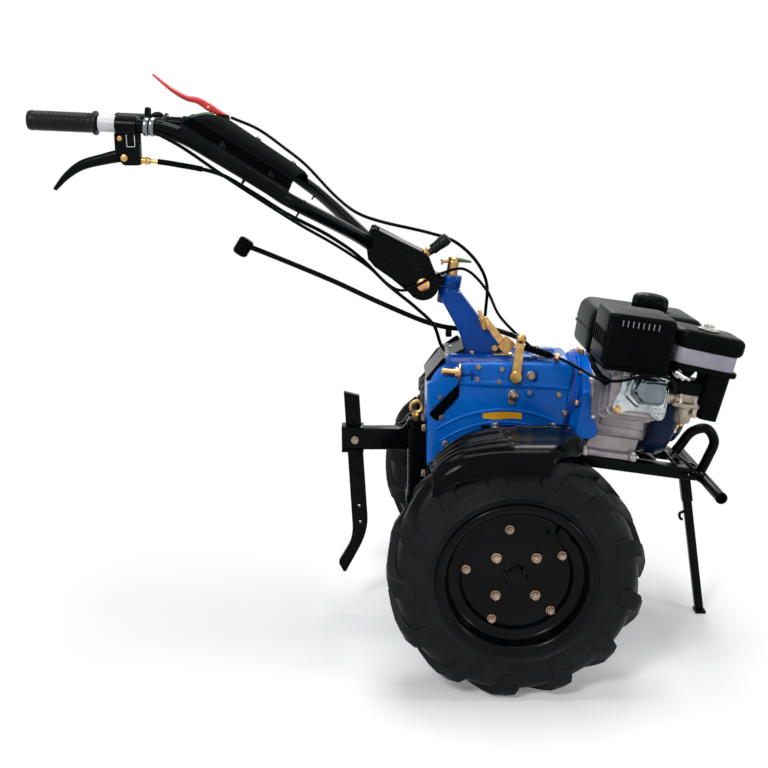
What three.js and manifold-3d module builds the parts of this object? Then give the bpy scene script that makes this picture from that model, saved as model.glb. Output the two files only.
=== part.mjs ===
// A walk-behind two-wheel tractor, parked on its wheels and its front stand.
// Millimetres. +X is forwards (the engine end), +Y is the machine's left, +Z is up, ground at z = 0.
// The model is laid out with the wheel axle at x = 0 and moved at the end, so that the origin
// is the middle of its footprint.
import * as THREE from "three";
import { mergeVertices } from "three/addons/utils/BufferGeometryUtils.js";
import Module from "manifold-3d";

const wasm = await Module();
wasm.setup();

// ---- driving dimensions ----------------------------------------------------------------------
const GAP = 0.3; // between pieces that touch
const PIN_GAP = 0.4; // round a pin in its hole

const TYRE_RADIUS = 227.5;
const TYRE_WIDTH = 112;
const TYRE_WALL = 10;
const TRACK = 610; // between the tyres' middles
const RIM_RADIUS = 127; // bead seat of a ten inch rim
const RIM_FLANGE_RADIUS = 141;
const RIM_HALF_WIDTH = 50;
const RIM_WALL = 4;
const DISC_OFFSET = 25; // the disc's outer face, outboard of the tyre's middle
const HUB_FLANGE_RADIUS = 66;
const HUB_FLANGE = 9;
const HUB_RADIUS = 27;
const HUB_LENGTH = 75;
const SHAFT_RADIUS = 17; // across the corners of the hexagon
const SHAFT_IN = 45; // the shaft's inner end, from the machine's middle
const SHAFT_OUT = 12; // how far it stands out of the disc

const CASE_HALF_WIDTH = 75;
const CASE_REAR = -147;
const CASE_FRONT = 131;
const CASE_TOP = 556;
const CASE_BOSS_RADIUS = 50;
const AXLE_HOUSING_RADIUS = 46;
const AXLE_HOUSING_END = 150;

const GUARD_RISE = 11; // the mudguard's top above the tyre
const GUARD_OVERHANG = 7; // its outer edge, outboard of the tyre
const GUARD_THICK = 3;
const GUARD_BEND = 40; // x from which the front edge is cut back and bent down

const NOSE_DOWN = (8 * Math.PI) / 180; // the engine and its frame slope down to the front
const CRANK_HEIGHT = 485; // the crankshaft above the ground at the case's front face
const BELL_LENGTH = 33;
const BELL_RADIUS = 78;
const ENGINE_BASE = -110; // under the crankshaft
const CRANKCASE_END = 168;
const CRANKCASE_HALF_WIDTH = 80;
const CRANKCASE_TOP = 60;
const CYLINDER_TILT = (14 * Math.PI) / 180; // the cylinder rises to the right-hand side
const CYLINDER_MIDDLE = 90; // along the crankshaft
const CYLINDER_WIDTH = 104;
const CYLINDER_HEIGHT = 96;
const HEAD_FACE = 190; // from the crankshaft to the head's face
const VALVE_COVER_DEPTH = 32;
const FAN_RADIUS = 108;
const FAN_DEPTH = 42;
const STARTER_RADIUS = 82;
const STARTER_DEPTH = 26;
const TANK = { rear: 21, front: 250, right: -30, left: 150, bottom: 76, step: 162, shelf: 118, top: 172 };
const CAP_RADIUS = 37;
const CAP_HEIGHT = 32;
const MUFFLER = { rear: 7, front: 130, right: -235, left: -105, bottom: 101, top: 187 };
const AIR_CLEANER = { rear: 143, front: 266, right: -222, left: -122, bottom: 106, top: 176 };
const BOWL_RADIUS = 40;
const BOWL_NARROWING = 8; // how much smaller its floor's radius is
const BOWL_FLOOR = 16;
const THROAT_RADIUS = 18; // the carburettor's
const THROAT_HEIGHT = 46;

const RAIL_HALF_TRACK = 62;
const RAIL_WIDTH = 30;
const RAIL_HEIGHT = 24;
const RAIL_FRONT = 255;
const STAND_PIVOT = [378, 315]; // x, z
const STAND_FOOT = 432; // x, on the ground
const STAND_WIDTH = 18;
const STAND_SLEEVE = 70; // length of the thicker part below the pivot
const STAND_PIN_RADIUS = 5;
const GUARD_RADIUS = 11;
const GUARD_HALF_WIDTH = 150;
const GUARD_BAR = [411, 305]; // x, z
const GUARD_HOOP_FRONT = 436; // x

const SWIVEL_TILT = NOSE_DOWN;
const SWIVEL = [-103, 688]; // x, z of the bracket's top seat
const SWIVEL_PIN_RADIUS = 11;
const SWIVEL_PIN_TOP = 52;
const TILT_PIVOT = [-156, 698]; // x, z
const TILT_PIN_RADIUS = 7;
const HEAD_HALF_WIDTH = 22;
const CLAMP_PLATE = 5;
const CLAMP_END_RADIUS = 30;

const TUBE_RADIUS = 12.5;
const GRIP_RADIUS = TUBE_RADIUS + 3.5;
const CLAMP_INNER = 2 * TUBE_RADIUS + 5; // half width between the clamp's side plates
const GRIP_LENGTH = 113;
const GRIP_REAR = -807; // x
const HANDLE_HALF_WIDTH = 290; // the grips' middles, from the machine's middle
const GRIP_HEIGHT = 1004;
const CABLE_RADIUS = 3.5;
const LEVER_HALF_THICK = 5;
const LEVER_PIN_RADIUS = 3.5;
const LEVER_PIVOT = [-650, 945]; // x, z
const CLIP_HALF_WIDTH = 9;

const HITCH_BAR_MIDDLE = 382;
const HITCH_BAR_HEIGHT = 44;
const HITCH_BAR_WIDTH = 30;
const HITCH_BAR_REAR = -316;
const HITCH_BOX = { rear: -183, halfWidth: 28, bottom: 248, top: 460 };
const COULTER_WIDTH = 32;
const COULTER_THICK = 12;
const COULTER_TOP = 478;
const HITCH_PIN = -165; // x
const HITCH_PIN_RADIUS = 9;

const SHIFT_ROD_RADIUS = 5;
const KNOB_RADIUS = 13;
const CRANK_PIVOT = [21, 527]; // x, z
const CRANK_TOP = [29, 602];
const CRANK_THICK = 6;

const SIDES = [["right", -1], ["left", 1]];

// ---- shapes ------------------------------------------------------------------------------------
function toSolid(geometry) {
  const bare = geometry.clone();
  bare.deleteAttribute("normal");
  bare.deleteAttribute("uv");
  const merged = mergeVertices(bare, 1e-4);
  return new wasm.Manifold(new wasm.Mesh({
    numProp: 3,
    vertProperties: new Float32Array(merged.attributes.position.array),
    triVerts: new Uint32Array(merged.index.array),
  }));
}

function toGeometry(solid) {
  const mesh = solid.getMesh();
  const geometry = new THREE.BufferGeometry();
  geometry.setAttribute("position", new THREE.BufferAttribute(mesh.vertProperties, 3));
  geometry.setIndex(new THREE.BufferAttribute(mesh.triVerts, 1));
  geometry.computeVertexNormals();
  return geometry;
}

const join = (...pieces) => toGeometry(pieces.map(toSolid).reduce((a, b) => a.add(b)));
const cut = (base, ...tools) => toGeometry(tools.map(toSolid).reduce((a, b) => a.subtract(b), toSolid(base)));

function box(x, y, z) {
  const geometry = new THREE.BoxGeometry(x[1] - x[0], y[1] - y[0], z[1] - z[0]);
  return geometry.translate((x[0] + x[1]) / 2, (y[0] + y[1]) / 2, (z[0] + z[1]) / 2);
}

// A round or many-sided bar between two points.
function bar(from, to, radius, sides = 20, endRadius = radius) {
  const start = new THREE.Vector3(...from);
  const run = new THREE.Vector3(...to).sub(start);
  const geometry = new THREE.CylinderGeometry(endRadius, radius, run.length(), sides);
  geometry.translate(0, run.length() / 2, 0);
  const turn = new THREE.Quaternion().setFromUnitVectors(new THREE.Vector3(0, 1, 0), run.normalize());
  return geometry.applyQuaternion(turn).translate(...from);
}

const polygon = (points) => new THREE.Shape(points.map(([a, b]) => new THREE.Vector2(a, b)));

// An outline in x and z, drawn out along y.
function sidePlate(outline, low, high) {
  const shape = outline instanceof THREE.Shape ? outline : polygon(outline);
  const settings = { depth: high - low, bevelEnabled: false, curveSegments: 12 };
  const geometry = new THREE.ExtrudeGeometry(shape, settings);
  return geometry.rotateX(Math.PI / 2).translate(0, high, 0);
}

// An outline in y and z, drawn out along x.
function crossSection(outline, low, high) {
  const geometry = new THREE.ExtrudeGeometry(polygon(outline), { depth: high - low, bevelEnabled: false });
  geometry.applyMatrix4(new THREE.Matrix4().set(0, 0, 1, low, 1, 0, 0, 0, 0, 1, 0, 0, 0, 0, 0, 1));
  return geometry;
}

// A closed outline of radius and y, turned about the y axis.
function turned(outline, sides = 32) {
  const closed = [...outline, outline[0]].map(([radius, y]) => new THREE.Vector2(radius, y));
  return new THREE.LatheGeometry(closed, sides);
}

// A round pipe or cable along a smooth line through the points.
function pipe(points, radius, sides, steps) {
  const path = new THREE.CatmullRomCurve3(points.map((p) => new THREE.Vector3(...p)), false, "centripetal");
  const ring = Array.from({ length: sides }, (_, i) => {
    const angle = (2 * Math.PI * i) / sides;
    return [radius * Math.cos(angle), radius * Math.sin(angle)];
  });
  return new THREE.ExtrudeGeometry(polygon(ring), { steps, bevelEnabled: false, extrudePath: path });
}

// A closed sheet over a grid: at(u, v) gives the under side, and the sheet is thick along z.
function sheet(at, across, along, thick) {
  const positions = [];
  const faces = [];
  const index = (side, i, j) => side * (across + 1) * (along + 1) + i * (along + 1) + j;
  for (const lift of [0, thick]) {
    for (let i = 0; i <= across; i++) {
      for (let j = 0; j <= along; j++) {
        const [x, y, z] = at(i / across, j / along);
        positions.push(x, y, z + lift);
      }
    }
  }
  const quad = (a, b, c, d) => faces.push(a, b, c, a, c, d);
  for (let i = 0; i < across; i++) {
    for (let j = 0; j < along; j++) {
      quad(index(0, i, j), index(0, i, j + 1), index(0, i + 1, j + 1), index(0, i + 1, j));
      quad(index(1, i, j), index(1, i + 1, j), index(1, i + 1, j + 1), index(1, i, j + 1));
    }
  }
  for (let i = 0; i < across; i++) {
    quad(index(0, i, 0), index(0, i + 1, 0), index(1, i + 1, 0), index(1, i, 0));
    quad(index(0, i + 1, along), index(0, i, along), index(1, i, along), index(1, i + 1, along));
  }
  for (let j = 0; j < along; j++) {
    quad(index(0, 0, j + 1), index(0, 0, j), index(1, 0, j), index(1, 0, j + 1));
    quad(index(0, across, j), index(0, across, j + 1), index(1, across, j + 1), index(1, across, j));
  }
  const geometry = new THREE.BufferGeometry();
  geometry.setAttribute("position", new THREE.Float32BufferAttribute(positions, 3));
  geometry.setIndex(faces);
  geometry.computeVertexNormals();
  return geometry;
}

// ---- finishes ----------------------------------------------------------------------------------
function finish(color, roughness, metalness) {
  return new THREE.MeshStandardMaterial({ color, roughness, metalness });
}
const BLUE_PAINT = finish(0x0a4fb8, 0.3, 0.1);
const NAVY_PAINT = finish(0x14264f, 0.4, 0.1);
const BLACK_PAINT = finish(0x0c0e10, 0.35, 0.1);
const BLACK_PLASTIC = finish(0x14181a, 0.5, 0);
const RUBBER = finish(0x121313, 0.75, 0);
const CAST_ALUMINIUM = finish(0xa9abae, 0.45, 0.9);
const POLISHED_STEEL = finish(0xc4c8ca, 0.2, 1);
const GOLD_PLATE = finish(0xc79a45, 0.3, 0.9);
const RED_LEVER = finish(0xc81e1c, 0.35, 0);

const tractor = new THREE.Group();
function add(name, geometry, material, parent = tractor) {
  const mesh = new THREE.Mesh(geometry, material);
  mesh.name = name;
  parent.add(mesh);
  return mesh;
}

// ---- wheels: tyre, rim, hub and hexagonal half shaft, one of each to a side ---------------------
function tyreOutline() {
  const half = TYRE_WIDTH / 2;
  const seat = RIM_RADIUS + GAP;
  const lip = RIM_HALF_WIDTH - GAP;
  const outer = [
    [RIM_FLANGE_RADIUS + 2, lip], [165, half - 2], [190, half], [208, half - 5], [221, half - 17],
    [TYRE_RADIUS, half - 34],
  ];
  const inner = [
    [TYRE_RADIUS - TYRE_WALL, half - 38], [205, half - 22], [190, half - TYRE_WALL],
    [160, half - TYRE_WALL - 3], [seat, lip - 14],
  ];
  const mirror = (side) => side.map(([radius, y]) => [radius, -y]).reverse();
  return [[seat, lip], ...outer, ...mirror(outer), [seat, -lip], ...mirror(inner), ...inner].reverse();
}

function rimOutline(side) {
  const face = side * DISC_OFFSET;
  const back = side * (DISC_OFFSET - RIM_WALL);
  const well = RIM_RADIUS - RIM_WALL;
  const edge = RIM_HALF_WIDTH + RIM_WALL;
  const outline = [
    [well, -edge], [RIM_FLANGE_RADIUS, -edge], [RIM_FLANGE_RADIUS, -RIM_HALF_WIDTH],
    [RIM_RADIUS, -RIM_HALF_WIDTH], [RIM_RADIUS, RIM_HALF_WIDTH], [RIM_FLANGE_RADIUS, RIM_HALF_WIDTH],
    [RIM_FLANGE_RADIUS, edge], [well, edge],
  ];
  const disc = [[well, face], [HUB_RADIUS, face], [HUB_RADIUS, back], [well, back]];
  return [...outline, ...(side > 0 ? disc : disc.reverse())];
}

function shaftBar(side, clearance) {
  const reach = (distance) => [0, side * distance, TYRE_RADIUS];
  return bar(reach(SHAFT_IN), reach(TRACK / 2 + DISC_OFFSET + SHAFT_OUT), SHAFT_RADIUS + clearance, 6);
}

for (const [word, side] of SIDES) {
  const middle = (side * TRACK) / 2;
  const discBack = middle + side * (DISC_OFFSET - RIM_WALL - GAP);
  const inboard = (distance) => [0, discBack - side * distance, TYRE_RADIUS];
  const hubFlange = bar(inboard(0), inboard(HUB_FLANGE), HUB_FLANGE_RADIUS, 32);
  const hubTube = bar(inboard(0), inboard(HUB_LENGTH), HUB_RADIUS, 24);
  add(`tyre_${word}`, turned(tyreOutline(), 32), RUBBER).position.set(0, middle, TYRE_RADIUS);
  add(`rim_${word}`, turned(rimOutline(side), 32), BLACK_PAINT).position.set(0, middle, TYRE_RADIUS);
  add(`wheel_hub_${word}`, cut(join(hubFlange, hubTube), shaftBar(side, GAP)), BLACK_PAINT);
  add(`half_shaft_${word}`, shaftBar(side, 0), POLISHED_STEEL);
}

// ---- engine group: x runs along the crankshaft from the case's front face ------------------------
const engine = new THREE.Group();
engine.position.set(CASE_FRONT, 0, CRANK_HEIGHT);
engine.rotation.y = NOSE_DOWN;
tractor.add(engine);
engine.updateMatrixWorld(true);
const inEngine = (geometry) => geometry.applyMatrix4(engine.matrixWorld);
const fromEngine = (geometry) => geometry.applyMatrix4(engine.matrixWorld.clone().invert());

// ---- gearbox case: an upper input housing over a boot that narrows down to the axle ---------------
function caseOutline() {
  const shape = new THREE.Shape();
  shape.moveTo(CASE_REAR, 335);
  shape.lineTo(CASE_REAR, 505);
  shape.lineTo(-122, CASE_TOP - 16);
  shape.lineTo(-80, CASE_TOP);
  shape.lineTo(CASE_FRONT + 20, CASE_TOP);
  shape.lineTo(CASE_FRONT + 20, 405);
  shape.lineTo(66, 372);
  shape.lineTo(CASE_BOSS_RADIUS - 4, 300);
  shape.lineTo(CASE_BOSS_RADIUS, TYRE_RADIUS);
  shape.absarc(0, TYRE_RADIUS, CASE_BOSS_RADIUS, 0, -Math.PI, true);
  shape.lineTo(-CASE_BOSS_RADIUS - 14, 262);
  return shape;
}

const caseBlock = sidePlate(caseOutline(), -CASE_HALF_WIDTH, CASE_HALF_WIDTH);
const engineSpace = inEngine(box([0, 200], [-200, 200], [-200, 200]));
const shaftBores = [-1, 1].map((side) => bar(
  [0, side * (SHAFT_IN - 8), TYRE_RADIUS], [0, side * (CASE_HALF_WIDTH + 20), TYRE_RADIUS],
  SHAFT_RADIUS + PIN_GAP));
const gearboxCase = cut(caseBlock, engineSpace, ...shaftBores);
add("gearbox_case", gearboxCase, BLUE_PAINT);

for (const [word, side] of SIDES) {
  const start = side * (CASE_HALF_WIDTH + GAP);
  const flange = bar([0, start, TYRE_RADIUS], [0, start + side * 10, TYRE_RADIUS], AXLE_HOUSING_RADIUS, 28);
  const sleeve = bar([0, start, TYRE_RADIUS], [0, side * AXLE_HOUSING_END, TYRE_RADIUS], 30, 28, 26);
  const bore = bar([0, side * 60, TYRE_RADIUS], [0, side * 200, TYRE_RADIUS], SHAFT_RADIUS + PIN_GAP);
  add(`axle_housing_${word}`, cut(join(flange, sleeve), bore), BLUE_PAINT);
}

// ---- mudguards: a sheet over each tyre, dropped at both ends and along the outer edge -------------
const guardTop = 2 * TYRE_RADIUS + GUARD_RISE;
const guardMiddle = TRACK / 2;
const guardOuter = guardMiddle + TYRE_WIDTH / 2 + GUARD_OVERHANG;
const guardInner = CASE_HALF_WIDTH + GAP;
const guardRise = [ // distance from the machine's middle, height, front edge
  [guardInner, CASE_TOP - 129, 140], [guardMiddle - 155, guardTop - 20, 138],
  [guardMiddle - 80, guardTop - 1, 128], [guardMiddle - 5, guardTop, 108], [guardOuter - 30, guardTop, 80],
  [guardOuter - 8, guardTop - 14, 56], [guardOuter, guardTop - 42, 45],
];
const guardRun = [ // x, drop at the inner edge, drop at the outer edge
  [-148, -92, -36], [-125, -64, -20], [-98, -33, -8], [-64, -11, -3], [-19, 0, 0], [GUARD_BEND, 0, 0],
];
function guardPoint(u, v) {
  const [distance, height, front] = guardRise[Math.round(v * (guardRise.length - 1))];
  const step = Math.round(u * (guardRun.length + 1));
  if (step >= guardRun.length) {
    const last = step === guardRun.length + 1;
    const drop = last ? 22 * Math.min(1, (front - GUARD_BEND) / 60) : 0;
    return [last ? front : GUARD_BEND + (front - GUARD_BEND) * 0.8, distance, height - drop];
  }
  const [x, innerDrop, outerDrop] = guardRun[step];
  const outwards = (distance - guardInner) / (guardOuter - guardInner);
  return [x, distance, height + innerDrop + (outerDrop - innerDrop) * outwards];
}
for (const [word, side] of SIDES) {
  const at = (u, v) => {
    const [x, distance, z] = guardPoint(u, side > 0 ? v : 1 - v);
    return [x, side * distance, z];
  };
  const guard = sheet(at, guardRun.length + 1, guardRise.length - 1, GUARD_THICK);
  add(`mudguard_${word}`, guard, BLACK_PAINT);
}

// ---- rear hitch: box, bar with a socket at its end, and the depth coulter -------------------------
const coulterMiddle = (HITCH_BAR_REAR - 270) / 2 + 3;
function coulterOutline(grow) {
  const half = COULTER_WIDTH / 2 + grow;
  const lean = 0.055;
  const at = (z) => coulterMiddle + (HITCH_BAR_MIDDLE - z) * lean;
  return [
    [at(COULTER_TOP) - half, COULTER_TOP], [at(COULTER_TOP) + half, COULTER_TOP - 6],
    [at(180) + half, 180], [at(180) + half - 48, 92], [at(180) - half - 26, 116], [at(180) - half, 168],
  ];
}
const coulter = sidePlate(coulterOutline(0), -COULTER_THICK / 2, COULTER_THICK / 2);
const coulterSlot = sidePlate(coulterOutline(GAP * 2), -COULTER_THICK / 2 - GAP, COULTER_THICK / 2 + GAP);
const barHalf = HITCH_BAR_HEIGHT / 2;
const barZ = [HITCH_BAR_MIDDLE - barHalf, HITCH_BAR_MIDDLE + barHalf];
const barSide = HITCH_BAR_WIDTH / 2;
const hitchBar = cut(box([HITCH_BAR_REAR, HITCH_BOX.rear - GAP], [-barSide, barSide], barZ), coulterSlot);
const hitchBox = box([HITCH_BOX.rear, CASE_REAR - GAP], [-HITCH_BOX.halfWidth, HITCH_BOX.halfWidth],
  [HITCH_BOX.bottom, HITCH_BOX.top]);
const hitchHole = bar([HITCH_PIN, 0, HITCH_BOX.bottom - 10], [HITCH_PIN, 0, HITCH_BOX.top + 10],
  HITCH_PIN_RADIUS);
add("hitch_box", cut(hitchBox, hitchHole), BLACK_PAINT);
add("hitch_bar", hitchBar, BLACK_PAINT);
add("depth_coulter", coulter, BLACK_PAINT);

// ---- engine pieces, in the engine group ------------------------------------------------------------
const bell = bar([GAP, 0, 0], [BELL_LENGTH, 0, 0], BELL_RADIUS, 32, BELL_RADIUS - 6);
add("clutch_housing", bell, BLUE_PAINT, engine);

const cylinder = new THREE.Group();
cylinder.position.set(CYLINDER_MIDDLE, 0, 0);
cylinder.rotation.x = -CYLINDER_TILT;
engine.add(cylinder);
cylinder.updateMatrix();
const barrelHalf = [CYLINDER_WIDTH / 2, CYLINDER_HEIGHT / 2];
const barrel = (grow) => box([-barrelHalf[0] - grow, barrelHalf[0] + grow], [-HEAD_FACE - grow, -70 + grow],
  [-barrelHalf[1] - grow, barrelHalf[1] + grow]);
const barrelSpace = () => barrel(GAP).applyMatrix4(cylinder.matrix);
add("cylinder_head", barrel(0), CAST_ALUMINIUM, cylinder);

const caseSection = [
  [-CRANKCASE_HALF_WIDTH, ENGINE_BASE], [CRANKCASE_HALF_WIDTH, ENGINE_BASE], [CRANKCASE_HALF_WIDTH, -60],
  [CRANKCASE_HALF_WIDTH - 12, CRANKCASE_TOP], [-CRANKCASE_HALF_WIDTH + 20, CRANKCASE_TOP],
  [-CRANKCASE_HALF_WIDTH, 20],
];
const crankcase = crossSection(caseSection, BELL_LENGTH + GAP, CRANKCASE_END);
add("crankcase", cut(crankcase, barrelSpace()), CAST_ALUMINIUM, engine);

const coverHalf = [44, 36];
const coverOutline = [
  [-coverHalf[0], -14], [-coverHalf[0] + 16, -coverHalf[1]], [coverHalf[0] - 16, -coverHalf[1]],
  [coverHalf[0], -14], [coverHalf[0], 18], [coverHalf[0] - 14, coverHalf[1]],
  [-coverHalf[0] + 14, coverHalf[1]], [-coverHalf[0], 18],
];
const valveCover = sidePlate(coverOutline, -HEAD_FACE - VALVE_COVER_DEPTH, -HEAD_FACE - GAP);
add("valve_cover", valveCover, POLISHED_STEEL, cylinder);

const fanStart = CRANKCASE_END + GAP;
const starterStart = fanStart + FAN_DEPTH + GAP;
add("fan_housing", bar([fanStart, 0, 0], [fanStart + FAN_DEPTH, 0, 0], FAN_RADIUS, 36), NAVY_PAINT, engine);
add("recoil_starter", bar([starterStart, 0, 0], [starterStart + STARTER_DEPTH, 0, 0], STARTER_RADIUS, 32,
  STARTER_RADIUS - 10), NAVY_PAINT, engine);

const tankOutline = [
  [TANK.rear, TANK.bottom + 12], [TANK.rear + 12, TANK.bottom], [TANK.step, TANK.bottom],
  [TANK.step, TANK.shelf], [TANK.front, TANK.shelf], [TANK.front, TANK.top - 26], [TANK.front - 34, TANK.top],
  [TANK.rear + 22, TANK.top], [TANK.rear, TANK.top - 24],
];
const tankFeet = [50, 140].map((x) => box([x - 10, x + 10], [0, 50], [CRANKCASE_TOP + GAP, TANK.bottom + 2]));
add("fuel_tank", join(sidePlate(tankOutline, TANK.right, TANK.left), ...tankFeet), BLACK_PLASTIC, engine);
const capMiddle = [150, 60];
add("fuel_cap", bar([...capMiddle, TANK.top + GAP], [...capMiddle, TANK.top + CAP_HEIGHT], CAP_RADIUS, 28,
  CAP_RADIUS - 3), BLACK_PLASTIC, engine);

const mufflerBox = box([MUFFLER.rear, MUFFLER.front], [MUFFLER.right, MUFFLER.left],
  [MUFFLER.bottom, MUFFLER.top]);
const exhaustPort = box([60, 100], [-160, -120], [60, MUFFLER.bottom + 2]);
add("muffler", cut(join(mufflerBox, exhaustPort), barrelSpace()), BLACK_PLASTIC, engine);

const cleanerMiddle = [
  (AIR_CLEANER.rear + AIR_CLEANER.front) / 2 + 12, (AIR_CLEANER.right + AIR_CLEANER.left) / 2,
];
const cleanerTop = box([AIR_CLEANER.rear, AIR_CLEANER.front], [AIR_CLEANER.right, AIR_CLEANER.left],
  [AIR_CLEANER.bottom, AIR_CLEANER.top]);
const cleanerBowl = bar([...cleanerMiddle, BOWL_FLOOR], [...cleanerMiddle, AIR_CLEANER.bottom + 2],
  BOWL_RADIUS - BOWL_NARROWING, 24, BOWL_RADIUS);
add("air_cleaner", join(cleanerTop, cleanerBowl), BLACK_PLASTIC, engine);

const carbMiddle = [162, cleanerMiddle[1]];
const bowlTaper = (z) => BOWL_NARROWING * (z - BOWL_FLOOR) / (AIR_CLEANER.bottom + 2 - BOWL_FLOOR);
const bowlRadiusAt = (z) => BOWL_RADIUS - BOWL_NARROWING + bowlTaper(z);
const carbEnd = cleanerMiddle[0] - bowlRadiusAt(THROAT_HEIGHT + THROAT_RADIUS) - GAP;
const headSide = CYLINDER_MIDDLE + CYLINDER_WIDTH / 2 + GAP;
const carbThroat = bar([headSide, carbMiddle[1], THROAT_HEIGHT], [carbEnd, carbMiddle[1], THROAT_HEIGHT],
  THROAT_RADIUS, 20);
const carbBowl = bar([...carbMiddle, -8], [...carbMiddle, 44], 16, 20);
const carburettor = cut(join(carbThroat, carbBowl), barrelSpace());
add("carburettor", carburettor, CAST_ALUMINIUM, engine);

// ---- engine frame, stand and front guard -------------------------------------------------------------
const railTop = ENGINE_BASE - GAP;
const railZ = [railTop - RAIL_HEIGHT, railTop];
const rails = [-1, 1].map((side) => {
  const y = [side * RAIL_HALF_TRACK - RAIL_WIDTH / 2, side * RAIL_HALF_TRACK + RAIL_WIDTH / 2];
  return box([-70, RAIL_FRONT], y, railZ);
});
const crossWidth = RAIL_HALF_TRACK + RAIL_WIDTH / 2;
const crossRuns = [[-70, -20], [CRANKCASE_END, CRANKCASE_END + 30], [RAIL_FRONT - 22, RAIL_FRONT]];
const crossBars = crossRuns.map((x) => box(x, [-crossWidth, crossWidth], [railTop - 9, railTop]));
const guardBar = (grow) => bar([GUARD_BAR[0], -GUARD_HALF_WIDTH - grow, GUARD_BAR[1]],
  [GUARD_BAR[0], GUARD_HALF_WIDTH + grow, GUARD_BAR[1]], GUARD_RADIUS + grow, 20);
const standPin = (grow) => bar([STAND_PIVOT[0], -22, STAND_PIVOT[1]], [STAND_PIVOT[0], 22, STAND_PIVOT[1]],
  STAND_PIN_RADIUS + grow, 16);
const lugs = [-1, 1].map((side) => {
  const y = [side * 16 - 3, side * 16 + 3];
  const outline = [
    [RAIL_FRONT - 20, railTop - 1], [RAIL_FRONT - 2, railTop - 1], [RAIL_FRONT + 45, -122],
    [RAIL_FRONT + 51, -136], [RAIL_FRONT + 45, -150], [RAIL_FRONT + 7, -150],
  ];
  return sidePlate(outline, ...y);
});
const frameBlank = join(...rails, ...crossBars, ...lugs);
const caseSpace = fromEngine(caseBlock.clone().translate(GAP, 0, -GAP));
const frameTools = [guardBar(GAP), standPin(PIN_GAP)].map(fromEngine);
add("engine_frame", cut(frameBlank, caseSpace, ...frameTools), BLACK_PAINT, engine);

function frameTopAt(x) {
  return CRANK_HEIGHT - (x - CASE_FRONT) * Math.tan(NOSE_DOWN) + railTop / Math.cos(NOSE_DOWN);
}
const hoopRear = CASE_FRONT + RAIL_FRONT - 22;
const hoop = pipe([
  [GUARD_BAR[0], 0, GUARD_BAR[1]], [426, 0, 340], [GUARD_HOOP_FRONT, 0, 374], [419, 0, 400], [390, 0, 394],
  [hoopRear + 4, 0, 362], [hoopRear - 4, 0, frameTopAt(hoopRear) - 4],
], GUARD_RADIUS - 1, 14, 30);
const hoopSeat = inEngine(box([RAIL_FRONT - 50, RAIL_FRONT + 10], [-20, 20], [railTop - 30, railTop + GAP]));
add("front_guard", join(guardBar(0), cut(hoop, hoopSeat)), BLACK_PAINT);

const standRun = new THREE.Vector2(STAND_FOOT - STAND_PIVOT[0], -STAND_PIVOT[1]).normalize();
const standAcross = new THREE.Vector2(-standRun.y, standRun.x);
function standPoint(down, side) {
  return [STAND_PIVOT[0] + standRun.x * down + standAcross.x * side, STAND_PIVOT[1] + standRun.y * down
    + standAcross.y * side];
}
const legOutline = [
  standPoint(-8, -7), standPoint(-8, 7), standPoint(0, 10.5), standPoint(STAND_SLEEVE, 10.5),
  standPoint(STAND_SLEEVE, 8.5), [STAND_FOOT + STAND_WIDTH / 2, 0], [STAND_FOOT - STAND_WIDTH / 2, 0],
  standPoint(STAND_SLEEVE, -8.5), standPoint(STAND_SLEEVE, -10.5), standPoint(0, -10.5),
];
add("stand_leg", join(sidePlate(legOutline, -STAND_WIDTH / 2, STAND_WIDTH / 2), standPin(0)), BLACK_PAINT);

// ---- handlebar column: leaning bracket, swivel pin, head and tilt bolt --------------------------------
const swivelUp = new THREE.Vector3(Math.sin(SWIVEL_TILT), 0, Math.cos(SWIVEL_TILT));
const onSwivel = (height) => [SWIVEL[0] + swivelUp.x * height, 0, SWIVEL[1] + swivelUp.z * height];
const bracketFoot = CASE_TOP + GAP;
const bracketOutline = [
  [-72, bracketFoot], [6, bracketFoot], [4, bracketFoot + 8], [-80, onSwivel(-8)[2]], [-122, onSwivel(-14)[2]],
  [-72, bracketFoot + 22],
];
const column = sidePlate(bracketOutline, -30, 30);
const columnHollow = [[-100, 530], [20, 530], [20, 585], [-40, 640], [-150, 640], [-90, 600]];
const columnInside = sidePlate(columnHollow, -22, 22);
const collar = bar(onSwivel(-30), onSwivel(0), 21, 24);
const swivelBore = bar(onSwivel(-28), onSwivel(20), SWIVEL_PIN_RADIUS + PIN_GAP);
add("handle_column", cut(join(column, collar), columnInside, swivelBore), BLUE_PAINT);

const headBore = bar(onSwivel(-40), onSwivel(80), SWIVEL_PIN_RADIUS + PIN_GAP);
const headHub = bar(onSwivel(GAP), onSwivel(24), 21, 24);
const tongueShape = new THREE.Shape();
tongueShape.moveTo(SWIVEL[0] - 12, SWIVEL[1] + 8);
tongueShape.lineTo(SWIVEL[0] - 8, SWIVEL[1] + 22);
tongueShape.lineTo(TILT_PIVOT[0], TILT_PIVOT[1] + 24);
tongueShape.absarc(TILT_PIVOT[0], TILT_PIVOT[1], 24, Math.PI / 2, Math.PI * 1.5, false);
tongueShape.lineTo(TILT_PIVOT[0] + 20, TILT_PIVOT[1] - 16);
tongueShape.lineTo(TILT_PIVOT[0] + 27, TILT_PIVOT[1] - 3);
const tongue = sidePlate(tongueShape, -HEAD_HALF_WIDTH, HEAD_HALF_WIDTH);
function tiltBolt(grow, half) {
  const end = (y) => [TILT_PIVOT[0], y, TILT_PIVOT[1]];
  return bar(end(-half), end(half), TILT_PIN_RADIUS + grow, 18);
}
add("swivel_head", cut(join(headHub, tongue), headBore, tiltBolt(PIN_GAP, 60)), BLACK_PAINT);
const pinShank = bar(onSwivel(-27), onSwivel(SWIVEL_PIN_TOP), SWIVEL_PIN_RADIUS, 20);
add("swivel_pin", pinShank, GOLD_PLATE);
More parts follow.
